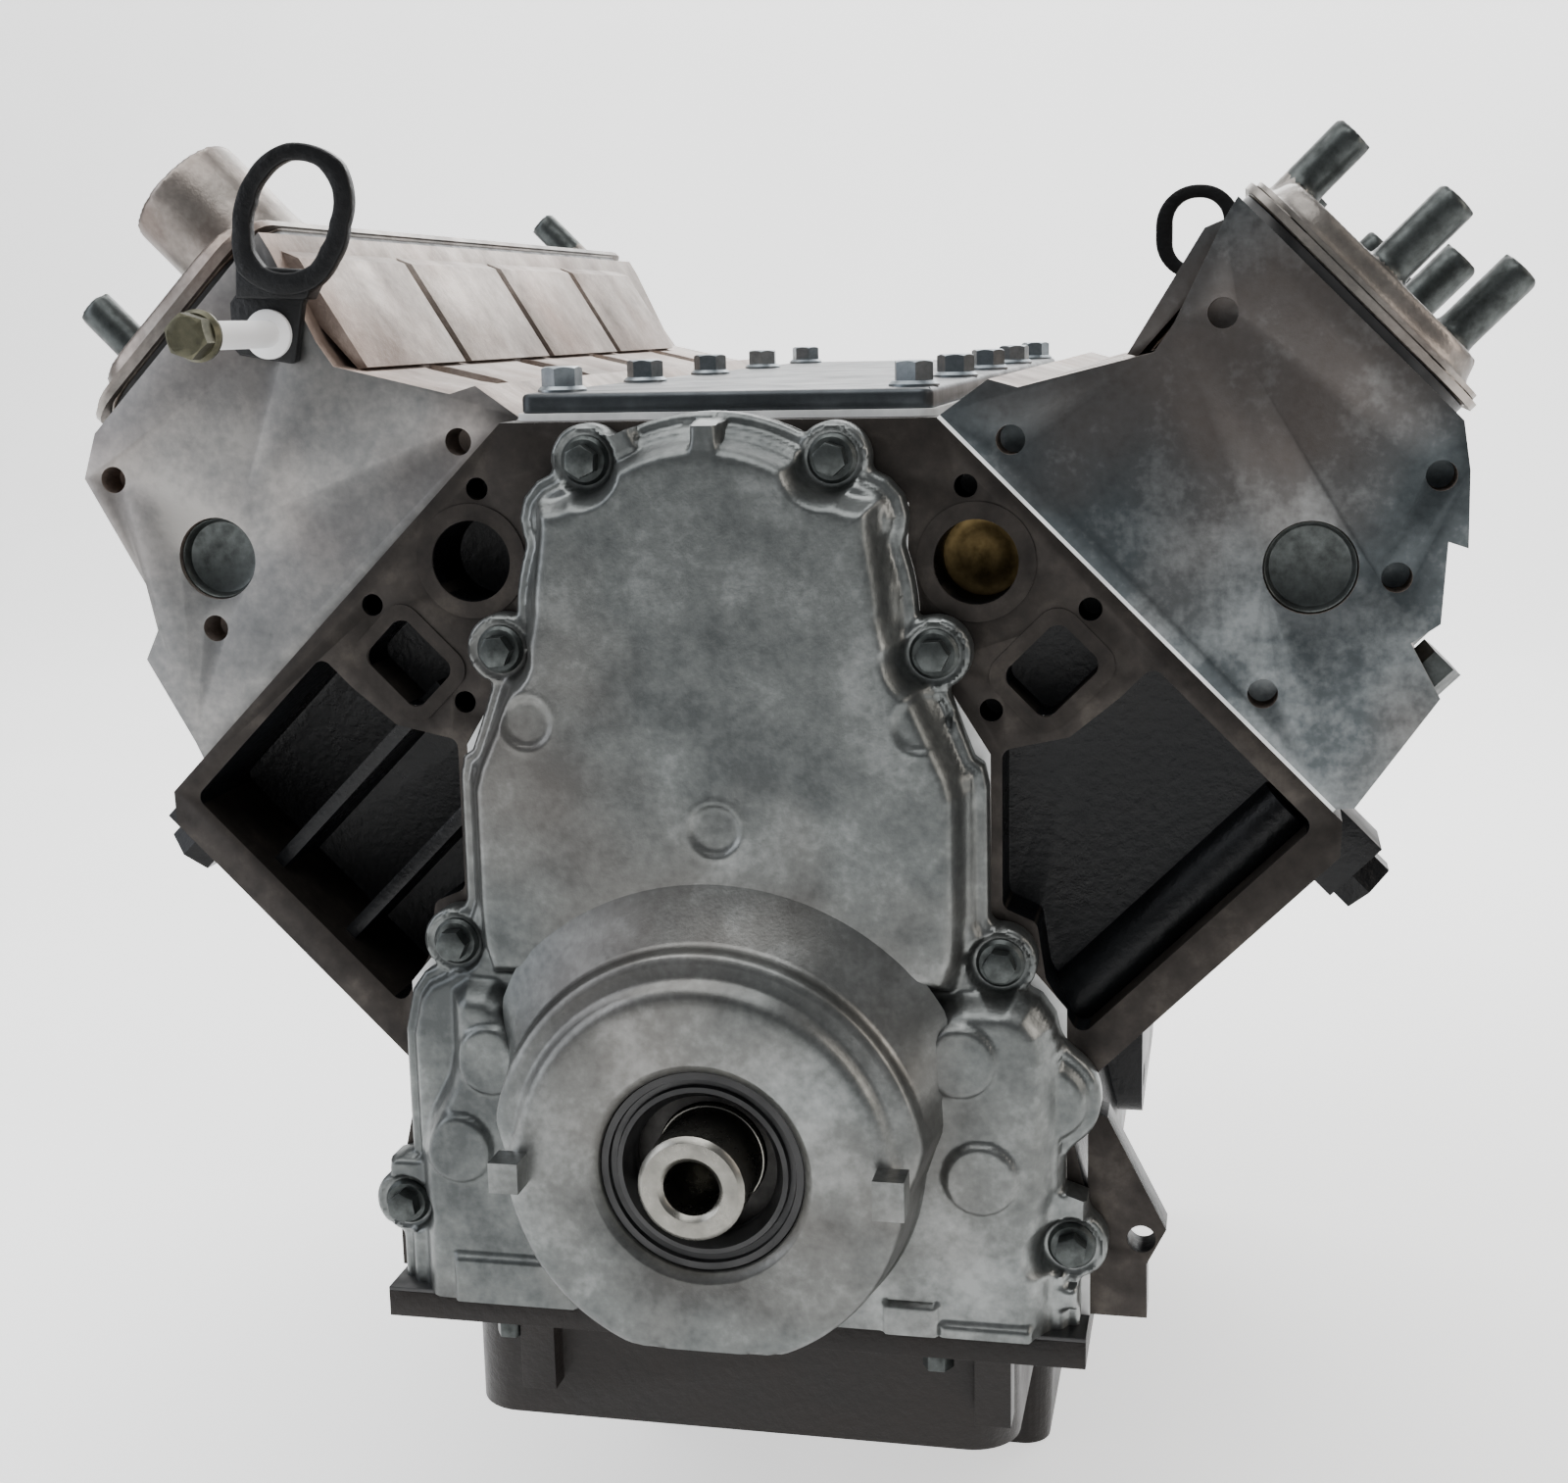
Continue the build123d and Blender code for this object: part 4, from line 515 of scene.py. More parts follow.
# Screws: one Geometry Nodes tree makes every hex flange screw from its sizes
def screwTree():
    tree = bpy.data.node_groups.new("hexFlangeScrews", "GeometryNodeTree")
    sockets = tree.interface
    sockets.new_socket("Geometry", in_out="INPUT", socket_type="NodeSocketGeometry")
    for label, value in (("Across Flats", 10.0), ("Head Height", 6.0), ("Flange Radius", 8.5),
                         ("Flange Height", 2.0), ("Shank Radius", 4.0), ("Shank Length", 4.0)):
        sockets.new_socket(label, in_out="INPUT", socket_type="NodeSocketFloat").default_value = value
    sockets.new_socket("Material", in_out="INPUT", socket_type="NodeSocketMaterial")
    sockets.new_socket("Geometry", in_out="OUTPUT", socket_type="NodeSocketGeometry")
    given = addNode(tree, "NodeGroupInput").outputs

    def value(first, factor=mm, second=None, operation="MULTIPLY"):
        scaled = addNode(tree, "ShaderNodeMath", {0: first, 1: factor}, operation="MULTIPLY").outputs[0]
        if second is None:
            return scaled
        return addNode(tree, "ShaderNodeMath", {0: scaled, 1: second}, operation=operation).outputs[0]

    def raised(mesh, height):
        offset = addNode(tree, "ShaderNodeCombineXYZ", {"Z": height}).outputs[0]
        return addNode(tree, "GeometryNodeTransform", {"Geometry": mesh, "Translation": offset}).outputs[0]

    flangeTop = value(given["Flange Height"])
    height = value(given["Head Height"])
    corner = value(given["Across Flats"], mm / sqrt(3))
    rim = value(given["Flange Radius"])
    hexPrism = addNode(tree, "GeometryNodeMeshCylinder", {
        "Vertices": 6, "Radius": corner, "Depth": height}).outputs[0]
    half = value(given["Head Height"], 0.5 * mm)
    hexUp = raised(hexPrism, addNode(tree, "ShaderNodeMath", {0: half, 1: flangeTop}, operation="ADD").outputs[0])
    # A cone trims the six corners of the head, as the forging die does
    trimTop = value(given["Across Flats"], 0.47 * mm)
    trimFoot = value(height, 1.75, trimTop, "ADD")
    trim = addNode(tree, "GeometryNodeMeshCone", {
        "Vertices": 48, "Radius Top": trimTop, "Radius Bottom": trimFoot, "Depth": height}).outputs[0]
    trimUp = raised(trim, flangeTop)
    cut = addNode(tree, "GeometryNodeMeshBoolean", operation="INTERSECT", solver="EXACT")
    tree.links.new(hexUp, cut.inputs[1])
    tree.links.new(trimUp, cut.inputs[1])
    skirt = addNode(tree, "GeometryNodeMeshCone", {
        "Vertices": 40, "Radius Top": value(given["Flange Radius"], 0.86 * mm), "Radius Bottom": rim,
        "Depth": value(given["Flange Height"], 0.6 * mm)}).outputs[0]
    base = addNode(tree, "GeometryNodeMeshCylinder", {
        "Vertices": 40, "Radius": rim, "Depth": value(given["Flange Height"], 0.4 * mm)}).outputs[0]
    baseUp = raised(base, value(given["Flange Height"], 0.2 * mm))
    shank = addNode(tree, "GeometryNodeMeshCylinder", {
        "Vertices": 24, "Radius": value(given["Shank Radius"]), "Depth": value(given["Shank Length"])}).outputs[0]
    shankDown = raised(shank, value(given["Shank Length"], -0.5 * mm))
    whole = addNode(tree, "GeometryNodeJoinGeometry")
    for part in (cut.outputs[0], raised(skirt, value(given["Flange Height"], 0.4 * mm)), baseUp, shankDown):
        tree.links.new(part, whole.inputs[0])
    facing = addNode(tree, "GeometryNodeInputNamedAttribute", {"Name": "facing"},
                     data_type="FLOAT_VECTOR").outputs[0]
    turn = addNode(tree, "FunctionNodeAlignRotationToVector", {"Vector": facing}, axis="Z").outputs[0]
    spin = addNode(tree, "FunctionNodeRandomValue", {2: 0.0, 3: 1.0, "Seed": 7}, data_type="FLOAT").outputs[1]
    spun = addNode(tree, "FunctionNodeAxisAngleToRotation", {"Axis": (0, 0, 1), "Angle": spin}).outputs[0]
    full = addNode(tree, "FunctionNodeRotateRotation", {0: turn, 1: spun}, rotation_space="LOCAL").outputs[0]
    placed = addNode(tree, "GeometryNodeInstanceOnPoints", {
        "Points": given["Geometry"], "Instance": whole.outputs[0], "Rotation": full}).outputs[0]
    real = addNode(tree, "GeometryNodeRealizeInstances", {"Geometry": placed}).outputs[0]
    done = addNode(tree, "GeometryNodeSetMaterial", {"Geometry": real, "Material": given["Material"]}).outputs[0]
    addNode(tree, "NodeGroupOutput", {"Geometry": done})
    return tree


screwKinds = {
    "cover": {"Across Flats": 10.0, "Head Height": 6.0, "Flange Radius": 8.5, "Flange Height": 2.0},
    "valley": {"Across Flats": 13.0, "Head Height": 7.0, "Flange Radius": 9.0, "Flange Height": 2.0},
    "strap": {"Across Flats": 14.0, "Head Height": 7.0, "Flange Radius": 9.0, "Flange Height": 3.0},
}
shankShown = 1.0
screws = screwTree()


def screwField(name, kind, places, replaced, material):
    # places: pairs of a seat point and the direction that the head faces
    mesh = bpy.data.meshes.new(name)
    mesh.from_pydata([p for p, _ in places], [], [])
    facing = mesh.attributes.new("facing", "FLOAT_VECTOR", "POINT")
    for i, (_, direction) in enumerate(places):
        facing.data[i].vector = direction
    piece = bpy.data.objects.new(name, mesh)
    bpy.context.scene.collection.objects.link(piece)
    modifier = piece.modifiers.new("screws", "NODES")
    modifier.node_group = screws
    names = {item.name: item.identifier for item in screws.interface.items_tree if item.in_out == "INPUT"}
    for label, size in {**screwKinds[kind], "Shank Length": shankShown}.items():
        modifier[names[label]] = size
    modifier[names["Material"]] = looks[material]
    applyModifiers(piece)
    return seat(piece, replaced, angle=30)


valleyBoltLine = 64.6
mains = [layout["firstMain"] + i * layout["boltPitch"] for i in range(5)]
forward = Vector((0, -1, 0))
upward = Vector((0, 0, 1))
across = Vector((1, 0, 0))
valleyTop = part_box("valley_cover")[1].z / mm

screwField("valley_cover_screws", "valley",
           [(place(s * valleyBoltLine, valleyTop, back), upward) for back in mains for s in (1, -1)],
           ["valley_cover_bolts"], "zinc")


# Block
def blockRule(centre, normal):
    front = centre.y < frontY + 0.5 * mm and normal.y < -0.9
    top = normal.z > 0.9 and centre.z > 0.2
    deck = normal.z > 0.6 and abs(normal.x) > 0.6
    return 1 if front or top or deck else 0


# Raised machined lands round the ports, and the cast bulge in the right pocket
blockDetails = {
    "edge": 0.8,
    "roundPorts": (90.3, 206.0, 14.6, 20.5),
    "squarePorts": (116.0, 169.0, 22.0, 28.0, 5.0),
    "landHeight": 0.6,
    "bulge": (54.0, 11.0, -118.0, -12.0),
    "pocketFloor": 22.0,
    "brassPlug": 24.0,
}


def addPortLands(shape):
    details = blockDetails
    x, z, inner, outer = details["roundPorts"]
    for side in (1, -1):
        rings = [[(r * cos(2 * pi * i / 64), r * sin(2 * pi * i / 64)) for i in range(64)] for r in (outer, inner)]
        ringPrism(shape, *rings, place(side * x, z, 0.1), across, upward, details["landHeight"])
        outward, up = bankAxes(side)
        px, pz, width, height, border = details["squarePorts"]
        lands = [roundedBox(width + 2 * border, height + 2 * border, 8), roundedBox(width, height, 4)]
        ringPrism(shape, *lands, place(side * px, pz, 0.1), outward * side, up, details["landHeight"])


def makeBlock():
    details = blockDetails
    finishesAndPaintedHighlight = ["enamel", "milledIron", "brightEdge", "brass"]
    piece = machinedCopy("engine_block", "cylinder_block", finishesAndPaintedHighlight, blockRule, details["edge"])
    paintChamfers(piece, 2, frontY, 0.6)
    shape = bmesh.new()
    shape.from_mesh(piece.data)
    start = len(shape.faces)
    addPortLands(shape)
    paintNew(shape, start, 1)
    u, radius, low, high = details["bulge"]
    start = len(shape.faces)
    lathe(shape, [(low, 0), (low, radius), (high, radius), (high, 0)],
          bankPlace(1, u, 0, details["pocketFloor"]), bankAxes(1)[1], 40)
    paintNew(shape, start, 0)
    x, z, inner, _ = details["roundPorts"]
    start = len(shape.faces)
    lathe(shape, [(-4, 0), (-4, inner - 0.2), (0, inner - 0.2), (0, 11), (-2, 9), (-2, 0)],
          place(x, z, details["brassPlug"]), forward, 40)
    paintNew(shape, start, 3)
    recalc(shape).to_mesh(piece.data)
    shape.free()
    seat(piece, ["cylinder_block"])


makeBlock()


# Heads
def headRule(centre, normal):
    return 0 if abs(normal.y) > 0.9 and (centre.y < frontY + 30 * mm or centre.y > rearY - 30 * mm) else 1


# Cast panels along the heads' valley walls, one to a cylinder: outline in (u, v)
valleyPanel = {
    "outline": [(-92, 60), (-95, 58), (-106, 104), (-103, 111), (-95, 111)],
    "length": 104.0,
    "first": 62.0,
}

# The +X ("left") head's machined end faces take the darker tone of the face metal: painted shade
for side, label, skin in ((1, "left", "headLeftPaintedShade"), (-1, "right", "headRight")):
    def addPanels(shape):
        outward, up = bankAxes(side)
        for i in range(4):
            start = headFront[side] + valleyPanel["first"] + i * layout["boltPitch"] - valleyPanel["length"] / 2
            depth = valleyPanel["length"] * (1 if outward.cross(up).y > 0 else -1)
            prism(shape, valleyPanel["outline"], bankPlace(side, 0, 0, start), outward, up, depth)
        recalc(shape)

    piece = machinedCopy(label + "_head", label + "_cylinder_head", [skin, "headCast", "brightEdge"], headRule, 1.0,
                         reshape=addPanels)
    paintChamfers(piece, 2, frontY + headFront[side] * mm, 0.8)
    seat(piece, [label + "_cylinder_head"])

# Core plugs: pressed steel cups in the heads' front ends
corePlug = {"place": (-2.5, 51.5), "recess": 3.0,
            "cup": [(-3.2, 0), (-3.2, 11.8), (-2.6, 13.4), (0.6, 14.4), (1.0, 14.9), (0.6, 15.3), (-7, 15.3),
                    (-7, 12), (-5, 11), (-5, 0)]}


def makeCorePlugs():
    shape = bmesh.new()
    for side in (1, -1):
        centre = bankPlace(side, *corePlug["place"], headFront[side] + corePlug["recess"])
        lathe(shape, corePlug["cup"], centre, forward, 56)
    return seat(newPiece("core_plug_cups", recalc(shape), ["phosphateAndPaintedReflection"]), ["core_plugs"])


makeCorePlugs()


# Timing cover: its front is a relief over the x/z plane, its nose is turned about the crank axis
# "reach" runs forwards from the block's front face, in millimetres
timingCover = {
    "halfOutline": [(40, 246), (54.5, 238.3), (61.5, 234.9), (66.5, 229.2), (68.3, 222.3), (67.5, 216.5),
                    (65, 211.9), (65.2, 192.1), (68, 186.2), (81, 164), (86.5, 148.6), (90, 139.5), (93.5, 137), (95, 129.5),
                    (95.2, 84), (104, 60), (113.1, 55.5), (118, 48.7), (121.5, 33), (121.5, -13.8), (129.5, -16.5),
                    (130, -44), (127, -46), (127, -90)],
    "crown": ((0, 187), 71.0),
    "lobe": ((115, 19), 19.0),
    "bossRadius": 12.5,
    "bolts": [(43.3, 242.0), (77.2, 175.9), (99.4, 68.1), (124.3, -34.4)],
    "flange": ([0, 0.6, 1.6, 3.4, 3.8, 5.4, 6.6, 7.8], [8.6, 9.6, 10, 9.8, 9.9, 13.2, 14, 14.2]),
    "shoulder": ([0, 1.2, 3.2, 5, 6.5, 9], [14, 16, 21, 24, 24.8, 25]),
    "softShoulder": ([0, 2, 4, 6, 8, 10.5], [14, 16.6, 20.4, 23.2, 24.6, 25]),
    "halfBody": [(60.5, 229), (60.5, 190), (72, 168), (80, 150), (86, 137), (88.5, 128), (88.5, 85), (87.5, 70),
                 (84, 58)],
    "bodyCrown": ((0, 187), 63.5),
    "lowerBlocks": [
        [(-72, 44), (-76, 51), (-84, 56), (-94, 56.5), (-101, 51.5), (-101.5, 28), (-103.5, 19), (-111, 5),
         (-116, -10), (-116.5, -90), (0, -90)],
        [(70, 44), (76, 54), (86, 58.5), (103, 59.5), (112, 56), (118, 48), (120, 36), (120, -12), (118, -20),
         (118, -90), (0, -90)]],
    "boltSeat": ([0, 9.8, 10.6, 12, 14, 16.5, 17], [10, 10, 11, 16, 21, 25, 60]),
    "boltRim": ([0, 9.7, 10.6, 11.4, 12.5, 12.6], [0, 9.9, 10.9, 10.9, 9.6, 0]),
    "pads": [(-83, 28.5), (-97, -5.8), (86.6, 36.5), (94, -5.8)],
    "pad": ([0, 11.2, 12.2, 12.9, 13.4], [2.4, 2.4, 2.0, 1.0, 0]),
    "dimples": [(-64, 152.4), (74, 153.4), (2.5, 115.7)],
    "dimple": ([0, 7.4, 8.6, 9.2, 10, 11.5], [-1.3, -1.3, -0.7, 0, 0.35, 0]),
    # (outline, reach at least): tongue at the crown, lug by a bolt, ears and ledges
    "lands": [
        ([(-3.5, 240), (-3.5, 255.5), (7.3, 255.5), (7.3, 240)], 24.5),
        ([(-38.4, 250.9), (-28.9, 254.1), (-25.5, 253.7), (-22.6, 245.8), (-30.4, 241.2), (-37.5, 247.6)], 16.5),
        ([(113, -13), (130, -13), (130, -27), (113, -27)], 14.5),
        ([(113, -49), (127, -49), (127, -58), (113, -58)], 14.5),
        ([(-113, -16), (-130, -16), (-130, -27), (-113, -27)], 14.5),
        ([(-101, -47), (-101, -70), (-54, -70), (-54, -47)], 27.6),
        ([(59, -53), (79, -53), (79, -70), (59, -70)], 27.6),
        ([(79, -60), (112, -60), (112, -70), (79, -70)], 27.0)],
    "landEdge": 1.4,
    "wall": 4.0,
    "gasket": 1.0,
    "step": 1.1,
    # Corners between outlines are rounded by about these lengths
    "crownBlend": 3.0,
    "lobeBlend": 6.0,
    "bodyBlend": 8.0,
    "cavityInset": 9.0,
    "noseCut": -65.0,
    "noseHole": 60.0,
    # Turned profile (radius, reach) of the upper half and of the steep lower half
    "domeProfile": [(98.5, 24), (90, 28.5), (84, 33), (79.5, 36), (78.2, 37), (77.6, 40), (77, 42.5), (76, 43.8),
                    (73.5, 44.6), (70, 45.2), (68.5, 46), (67, 48.3), (65.4, 50), (63, 50.9), (60, 51), (40.2, 51),
                    (39.4, 50.7), (37, 48.6), (36.5, 48), (36.5, 33), (70, 31), (76, 21)],
    "wallProfile": [(76, 24), (74.2, 26), (73.8, 29), (73.4, 32), (73.1, 35), (72.8, 38), (72.5, 40), (72.3, 42),
                    (72, 44), (71.6, 45.5), (71.2, 47), (70.6, 48.6), (69, 50), (66.5, 50.8), (63, 51), (40.2, 51),
                    (39.4, 50.7), (37, 48.6), (36.5, 48), (36.5, 33), (66, 31), (70, 21)],
    # Radius of the dome's foot by angle from +X, and how much of the dome shows there
    "foot": ([-90, 0, 15, 33, 45, 90, 133, 147, 160, 180, 270], [78, 80, 84, 98, 99, 98.5, 98, 93, 80, 77, 77]),
    "domeShare": ([-90, -4, 8, 170, 182, 270], [0, 0, 1, 1, 0, 0]),
    "domeEdge": 78.2,
    "noseLugs": [(-72.6, -62, -6.5, 4.5), (62, 72.8, -7.5, 6.5)],
    "noseLugReach": 49.5,
    "noseLugDepth": 12,
}


def signedDistance(points, outline):
    # Distance of each point to a closed outline, positive inside it
    corners = np.array(outline, float)
    nearest = np.full(len(points), np.inf)
    inside = np.zeros(len(points), bool)
    for start, end in zip(corners, np.roll(corners, -1, axis=0)):
        edge = end - start
        share = np.clip((points - start) @ edge / (edge @ edge), 0, 1)
        nearest = np.minimum(nearest, np.linalg.norm(points - start - share[:, None] * edge, axis=1))
        if edge[1]:
            crossing = (start[1] > points[:, 1]) != (end[1] > points[:, 1])
            inside ^= crossing & (points[:, 0] < start[0] + (points[:, 1] - start[1]) / edge[1] * edge[0])
    return np.where(inside, nearest, -nearest)


def discDistance(points, centre, radius):
    return radius - np.linalg.norm(points - np.array(centre), axis=1)


def softUnion(first, second, blend):
    overlap = np.maximum(blend - np.abs(first - second), 0)
    return np.maximum(first, second) + overlap ** 2 / (4 * blend)


def mirrored(half):
    return half + [(-x, z) for x, z in reversed(half)]


def bothSides(points):
    return [(side * x, z) for x, z in points for side in (1, -1)]


def outerEdge(points):
    # Distance inside the cover's outer edge, which runs on below the pan rail
    cover = timingCover
    outline, crown = signedDistance(points, mirrored(cover["halfOutline"])), discDistance(points, *cover["crown"])
    distance = softUnion(outline, crown, cover["crownBlend"])
    distance = softUnion(distance, discDistance(points, *cover["lobe"]), cover["lobeBlend"])
    for centre in bothSides(cover["bolts"]):
        distance = softUnion(distance, discDistance(points, centre, cover["bossRadius"]), cover["crownBlend"])
    return distance


def coverEdge(points):
    return np.minimum(outerEdge(points), points[:, 1] - timingCover["noseCut"])


def coverReach(points):
    cover = timingCover
    edge = outerEdge(points)
    reach = np.interp(edge, *cover["flange"])
    outline, crown = signedDistance(points, mirrored(cover["halfBody"])), discDistance(points, *cover["bodyCrown"])
    body = softUnion(outline, crown, cover["bodyBlend"])
    reach = np.where(body > 0, np.maximum(reach, np.interp(body, *cover["shoulder"])), reach)
    for outline in cover["lowerBlocks"]:
        block = signedDistance(points, outline)
        reach = np.where(block > 0, np.maximum(reach, np.interp(block, *cover["softShoulder"])), reach)
    for outline, height in cover["lands"]:
        land = np.clip(signedDistance(points, outline) / cover["landEdge"], 0, 1)
        reach = np.maximum(reach, reach + (height - reach) * np.sqrt(land))
    for centres, relief in (("pads", "pad"), ("dimples", "dimple")):
        for centre in cover[centres]:
            reach = reach + np.interp(-discDistance(points, centre, 0), *cover[relief])
    for centre in bothSides(cover["bolts"]):
        away = -discDistance(points, centre, 0)
        reach = np.minimum(reach, np.interp(away, *cover["boltSeat"]))
        reach = np.maximum(reach, np.interp(away, *cover["boltRim"]))
    return reach


def reliefGrid():
    # Grid points inside the outer edge; the rim's points are drawn onto the edge
    cover = timingCover
    step = cover["step"]
    xs, zs = np.arange(-140, 140, step), np.arange(cover["noseCut"] - 3 * step, 264, step)
    points = np.array([(x, z) for z in zs for x in xs])
    wide = len(xs)
    lower = np.array([row * wide + i for row in range(len(zs) - 1) for i in range(wide - 1)])
    cells = np.stack([lower, lower + 1, lower + wide + 1, lower + wide], axis=1)
    middles = points[cells].mean(axis=1)
    kept = (coverEdge(middles) > 0) & (np.linalg.norm(middles, axis=1) > cover["noseHole"])
    cells = cells[kept]
    used, cells = np.unique(cells, return_inverse=True)
    points, cells = points[used], cells.reshape(-1, 4)
    sides = np.concatenate([cells[:, [i, (i + 1) % 4]] for i in range(4)])
    _, index, count = np.unique(np.sort(sides, axis=1), axis=0, return_index=True, return_counts=True)
    rim = sides[index[count == 1]]
    outer = np.unique(rim)
    outer = outer[np.linalg.norm(points[outer], axis=1) > cover["noseHole"] + 3 * step]
    # Three steps down the slope of the distance reach the edge; a slope near 0 at a ridge is held up
    for _ in range(3):
        edge = coverEdge(points[outer])
        slope = np.stack([coverEdge(points[outer] + shift) - edge for shift in ((0.1, 0), (0, 0.1))], axis=1) / 0.1
        points[outer] -= edge[:, None] * slope / np.maximum((slope ** 2).sum(axis=1), 0.3)[:, None]
    return points, cells, rim


def coverShell():
    cover = timingCover
    points, cells, rim = reliefGrid()
    front = coverReach(points)
    back = np.where(coverEdge(points) > cover["cavityInset"], front - cover["wall"], cover["gasket"])
    total = len(points)
    corners = [tuple(place(x, z, -reach)) for (x, z), reach in zip(points, front)]
    corners += [tuple(place(x, z, -reach)) for (x, z), reach in zip(points, back)]
    faces = cells.tolist() + (cells[:, ::-1] + total).tolist()
    faces += [[b, a, a + total, b + total] for a, b in rim.tolist()]
    return corners, faces


def noseShell(start, count=192):
    cover = timingCover
    corners, faces = [], []
    rings, rim = len(cover["domeProfile"]), cover["domeEdge"]
    fullFoot = cover["domeProfile"][0][0] - rim
    for i in range(count):
        angle = -90 + 360 * i / count
        foot, share = np.interp(angle, *cover["foot"]), np.interp(angle, *cover["domeShare"])
        for (radius, reach), (wallRadius, wallReach) in zip(cover["domeProfile"], cover["wallProfile"]):
            if radius > rim:
                radius = rim + (radius - rim) * (foot - rim) / fullFoot
            radius = radius * share + wallRadius * (1 - share)
            reach = reach * share + wallReach * (1 - share)
            z = max(radius * sin(radians(angle)), cover["noseCut"])
            corners.append(tuple(place(radius * cos(radians(angle)), z, -reach)))
        for ring in range(rings):
            a, b = start + i * rings + ring, start + (i + 1) % count * rings + ring
            faces.append([a, a - ring + (ring + 1) % rings, b - ring + (ring + 1) % rings, b])
    return corners, faces


def makeTimingCover():
    cover = timingCover
    corners, faces = coverShell()
    noseCorners, noseFaces = noseShell(len(corners))
    mesh = bpy.data.meshes.new("timing_cover")
    mesh.from_pydata(corners + noseCorners, [], faces + noseFaces)
    shape = bmesh.new()
    shape.from_mesh(mesh)
    bpy.data.meshes.remove(mesh)
    for low, high, bottom, top in cover["noseLugs"]:
        prism(shape, [(low, bottom), (high, bottom), (high, top), (low, top)],
              place(0, 0, -cover["noseLugReach"]), across, upward, cover["noseLugDepth"])
    piece = newPiece("timing_cover", recalc(shape), ["timingCover"])
    seat(piece, ["front_cover"], angle=60)


makeTimingCover()
screwField("timing_cover_screws", "cover",
           [(place(s * x, z, -10), forward) for x, z in timingCover["bolts"] for s in (1, -1)],
           ["front_cover_bolts"], "phosphateAndPaintedReflection")

# Rocker covers
rockerCover = {
    "roof": 134.7,
    "filler": (-80.0, 52.0, 30.0),
    "beads": [(121.8, 124.4, 0.8), (125.0, 126.6, -1.2)],
    "railInner": -105.0,
    "railOuter": -3.0,
    "corner": 17.0,
}


def makeRockerCover(side, label):
    cover = rockerCover
    piece = castCopy(label + "_valve_cover", copyOf(label + "_rocker_cover"), ["rockerCover", "phosphateAndPaintedReflection"], 1.8, 5)
    fu, fback, clear = cover["filler"]

    def isPost(centre, normal):
        u = (side * centre.x - centre.z) * cos45 / mm
        v = (side * centre.x + centre.z) * cos45 / mm - layout["deckHeight"]
        back = (centre.y - frontY) / mm - headFront[side]
        return v > cover["roof"] + 1 and (side > 0 or (u - fu) ** 2 + (back - fback) ** 2 > clear ** 2)

    # The coil posts are cast in with the aluminium cover; their dark steel colour is painted reflection
    paint(piece, 1, isPost)
    shape = bmesh.new()
    shape.from_mesh(piece.data)
    outward, up = bankAxes(side)
    width, length = cover["railOuter"] - cover["railInner"], layout["headLength"]
    middle = bankPlace(side, (cover["railInner"] + cover["railOuter"]) / 2, 0, headFront[side] + length / 2)
    back = Vector((0, 1, 0))
    for low, high, proud in cover["beads"]:
        outer = roundedBox(width + 2 * proud, length + 2 * proud - 1.6, cover["corner"])
        inner = roundedBox(width - 8, length - 8, cover["corner"] - 4)
        lift = outward.cross(back).dot(up)
        ringPrism(shape, outer, inner, middle + up * (low if lift > 0 else high) * mm, outward, back, high - low)
    recalc(shape).to_mesh(piece.data)
    shape.free()
    seat(piece, [label + "_rocker_cover"], angle=50)


makeRockerCover(1, "left")
makeRockerCover(-1, "right")

# Sump: its flange ends behind the timing cover's face
sump = {"flangeFront": 20.0, "frontBoltShift": 16.0, "edge": 2.0}


def drawBack(shape):
    limit = frontY - sump["flangeFront"] * mm
    for vert in shape.verts:
        vert.co.y = max(vert.co.y, limit)


def shiftFrontBolts(shape):
    for vert in shape.verts:
        if vert.co.y < frontY - (sump["flangeFront"] - 2) * mm:
            vert.co.y += sump["frontBoltShift"] * mm


def plain(centre, normal):
    return 0


# The sump's near-black colour is painted shade under the timing cover
seat(machinedCopy("sump", "oil_pan", ["pan"], plain, sump["edge"], reshape=drawBack), ["oil_pan"])
seat(machinedCopy("sump_gasket", "oil_pan_gasket", ["rubber"], plain, 0.2, reshape=drawBack),
     ["oil_pan_gasket"])
seat(machinedCopy("sump_screws", "oil_pan_bolts", ["phosphateAndPaintedReflection"], plain, 0.4, reshape=shiftFrontBolts),
     ["oil_pan_bolts"])

# Crankshaft seal: moulded ridges round the lip (reach, radius)
crankSeal = [(38, 36.4), (46.5, 36.4), (47, 36), (47, 33.5), (45.2, 33), (44.8, 31), (46.4, 30.4), (46.6, 28.6),
             (45, 27.6), (42.5, 26.5), (41, 25.4), (39, 25.3), (36, 25.6), (38, 36.4)]
shape = lathe(bmesh.new(), crankSeal, place(0, 0, 0), forward, 96)
seat(newPiece("crank_seal", recalc(shape), ["rubber"]), ["front_crank_seal"])

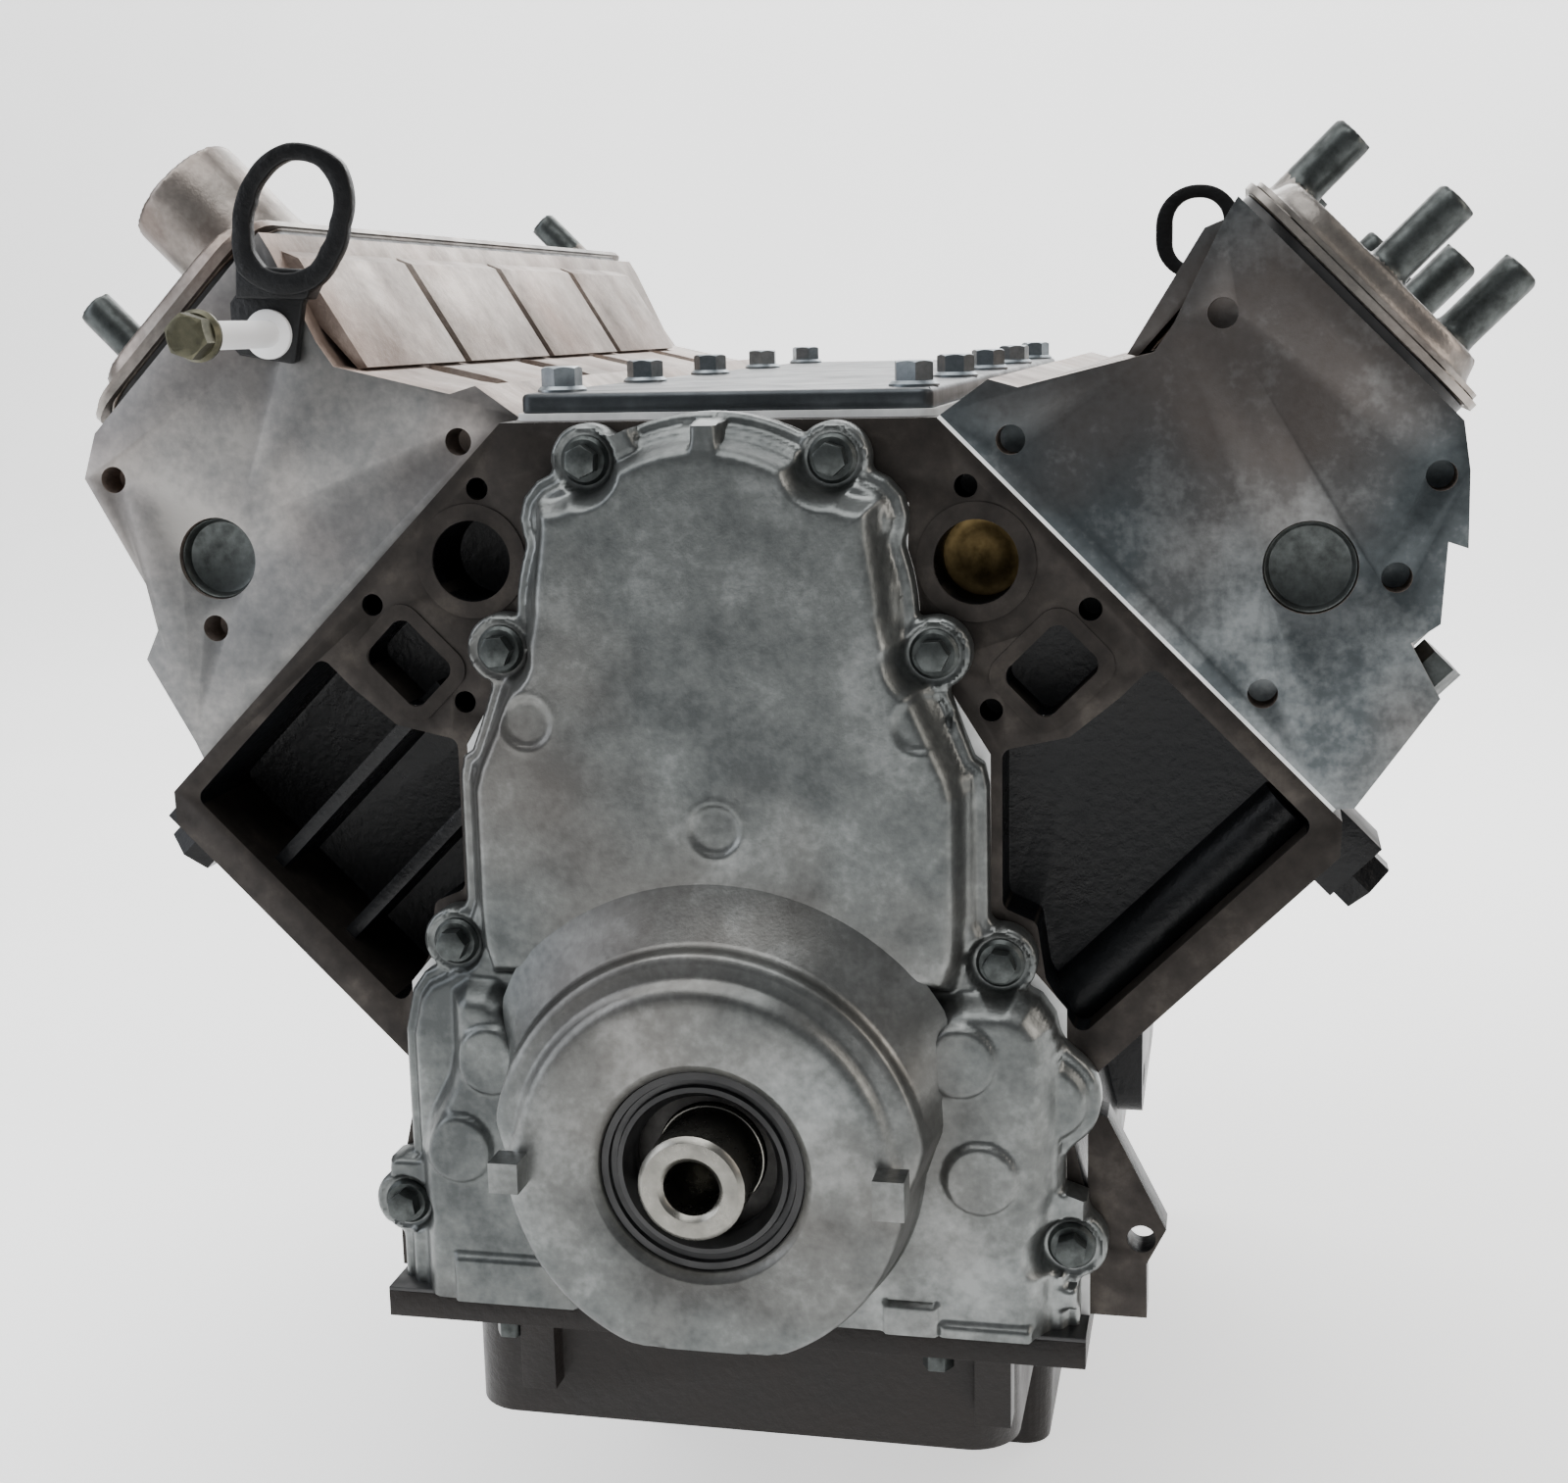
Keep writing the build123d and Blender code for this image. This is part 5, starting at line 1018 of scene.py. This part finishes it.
# Lifting straps: the front one is a bent bar with an eye, its screw stands half out
liftingStrap = {
    "outer": [(-180, 325), (-178, 335), (-173.4, 343), (-166.3, 350), (-156.6, 353.8), (-145.5, 352), (-136.5, 346.4),
              (-133.6, 337), (-135.6, 324.5), (-140.6, 312), (-149.2, 303), (-165, 301), (-179, 309), (-180.6, 316)],
    "inner": [(-173.2, 323), (-171, 333), (-165.8, 342), (-156.9, 347.6), (-146, 345.4), (-140.8, 337), (-142.6, 326),
              (-146.7, 317), (-151, 311), (-159.7, 308.6), (-169, 311), (-173, 317)],
    "centre": (-157.0, 328.0),
    "ringBack": (13.0, 18.0),
    "tab": [(-186.5, 282.5), (-183.5, 279.6), (-163.4, 276.2), (-161.5, 277), (-157.5, 297.6), (-152.4, 304.4),
            (-180.3, 309.5), (-181.1, 304.3), (-186, 298.6)],
    "tabBack": (19.2, 24.0),
    "bend": [(-181, 300), (-153.5, 299), (-147.5, 309), (-180.2, 312)],
    "bendBack": (14.0, 23.8),
    "screw": (-171.0, 287.0),
    "headBack": -36.0,
    "shank": 5.0,
    "washer": (9.0, 2.2),
}


def polarLoop(points, centre, count=72):
    spokes = np.array(points) - np.array(centre)
    angles = np.arctan2(spokes[:, 1], spokes[:, 0])
    turns = np.linspace(-pi, pi, count, endpoint=False)
    radii = np.interp(turns, angles, np.linalg.norm(spokes, axis=1), period=2 * pi)
    return [(centre[0] + r * cos(t), centre[1] + r * sin(t)) for t, r in zip(turns, radii)]


def rearHalf(shape):
    bmesh.ops.delete(shape, geom=[v for v in shape.verts if v.co.y < (frontY + rearY) / 2], context="VERTS")


def makeStraps():
    strap = liftingStrap
    shape = copyOf("lifting_straps")
    rearHalf(shape)
    loops = [polarLoop(strap[key], strap["centre"]) for key in ("outer", "inner")]
    near, far = strap["ringBack"]
    ringPrism(shape, *loops, place(0, 0, far), across, upward, far - near)
    for key, depths in (("tab", "tabBack"), ("bend", "bendBack")):
        near, far = strap[depths]
        prism(shape, strap[key], place(0, 0, far), across, upward, far - near)
    piece = newPiece("hoist_straps", recalc(shape), ["strap"])
    bevel = piece.modifiers.new("edges", "BEVEL")
    bevel.width, bevel.segments, bevel.limit_method, bevel.angle_limit = 0.9 * mm, 2, "ANGLE", radians(40)
    applyModifiers(piece)
    seat(piece, ["lifting_straps"])

    x, z = strap["screw"]
    piece = screwField("strap_screws", "strap", [(place(x, z, strap["headBack"]), forward)],
                       ["lifting_strap_bolts"], "olive")
    piece.data.materials.append(looks["zinc"])
    shape = copyOf("lifting_strap_bolts")
    rearHalf(shape)
    shape.from_mesh(piece.data)
    start = len(shape.faces)
    radius = strap["shank"]
    reachOut = strap["tabBack"][1] - strap["headBack"]
    lathe(shape, [(0, 0), (0, radius), (reachOut - 1, radius), (reachOut - 1, 0)],
          place(x, z, strap["tabBack"][1]), forward, 32)
    paintNew(shape, start, 1)
    radius, thick = strap["washer"]
    lathe(shape, [(0, 0), (0, radius), (thick - 0.5, radius), (thick, radius - 0.5), (thick, 0)],
          place(x, z, strap["tabBack"][0]), forward, 40)
    recalc(shape).to_mesh(piece.data)
    shape.free()
    piece.data.shade_smooth()
    piece.data.set_sharp_from_angle(angle=radians(30))


makeStraps()

# Pieces whose CAD form only needs broken edges
plainPieces = [
    ("valley_plate", "valley_cover", "plate", "plate_steel", "engine", 1.0),
    ("crank", "crankshaft", "turnedSteel", "machined_steel", "crank", 0.4),
]
for name, node, material, slot, body, edge in plainPieces:
    seat(machinedCopy(name, node, [material], plain, edge), [node], body)
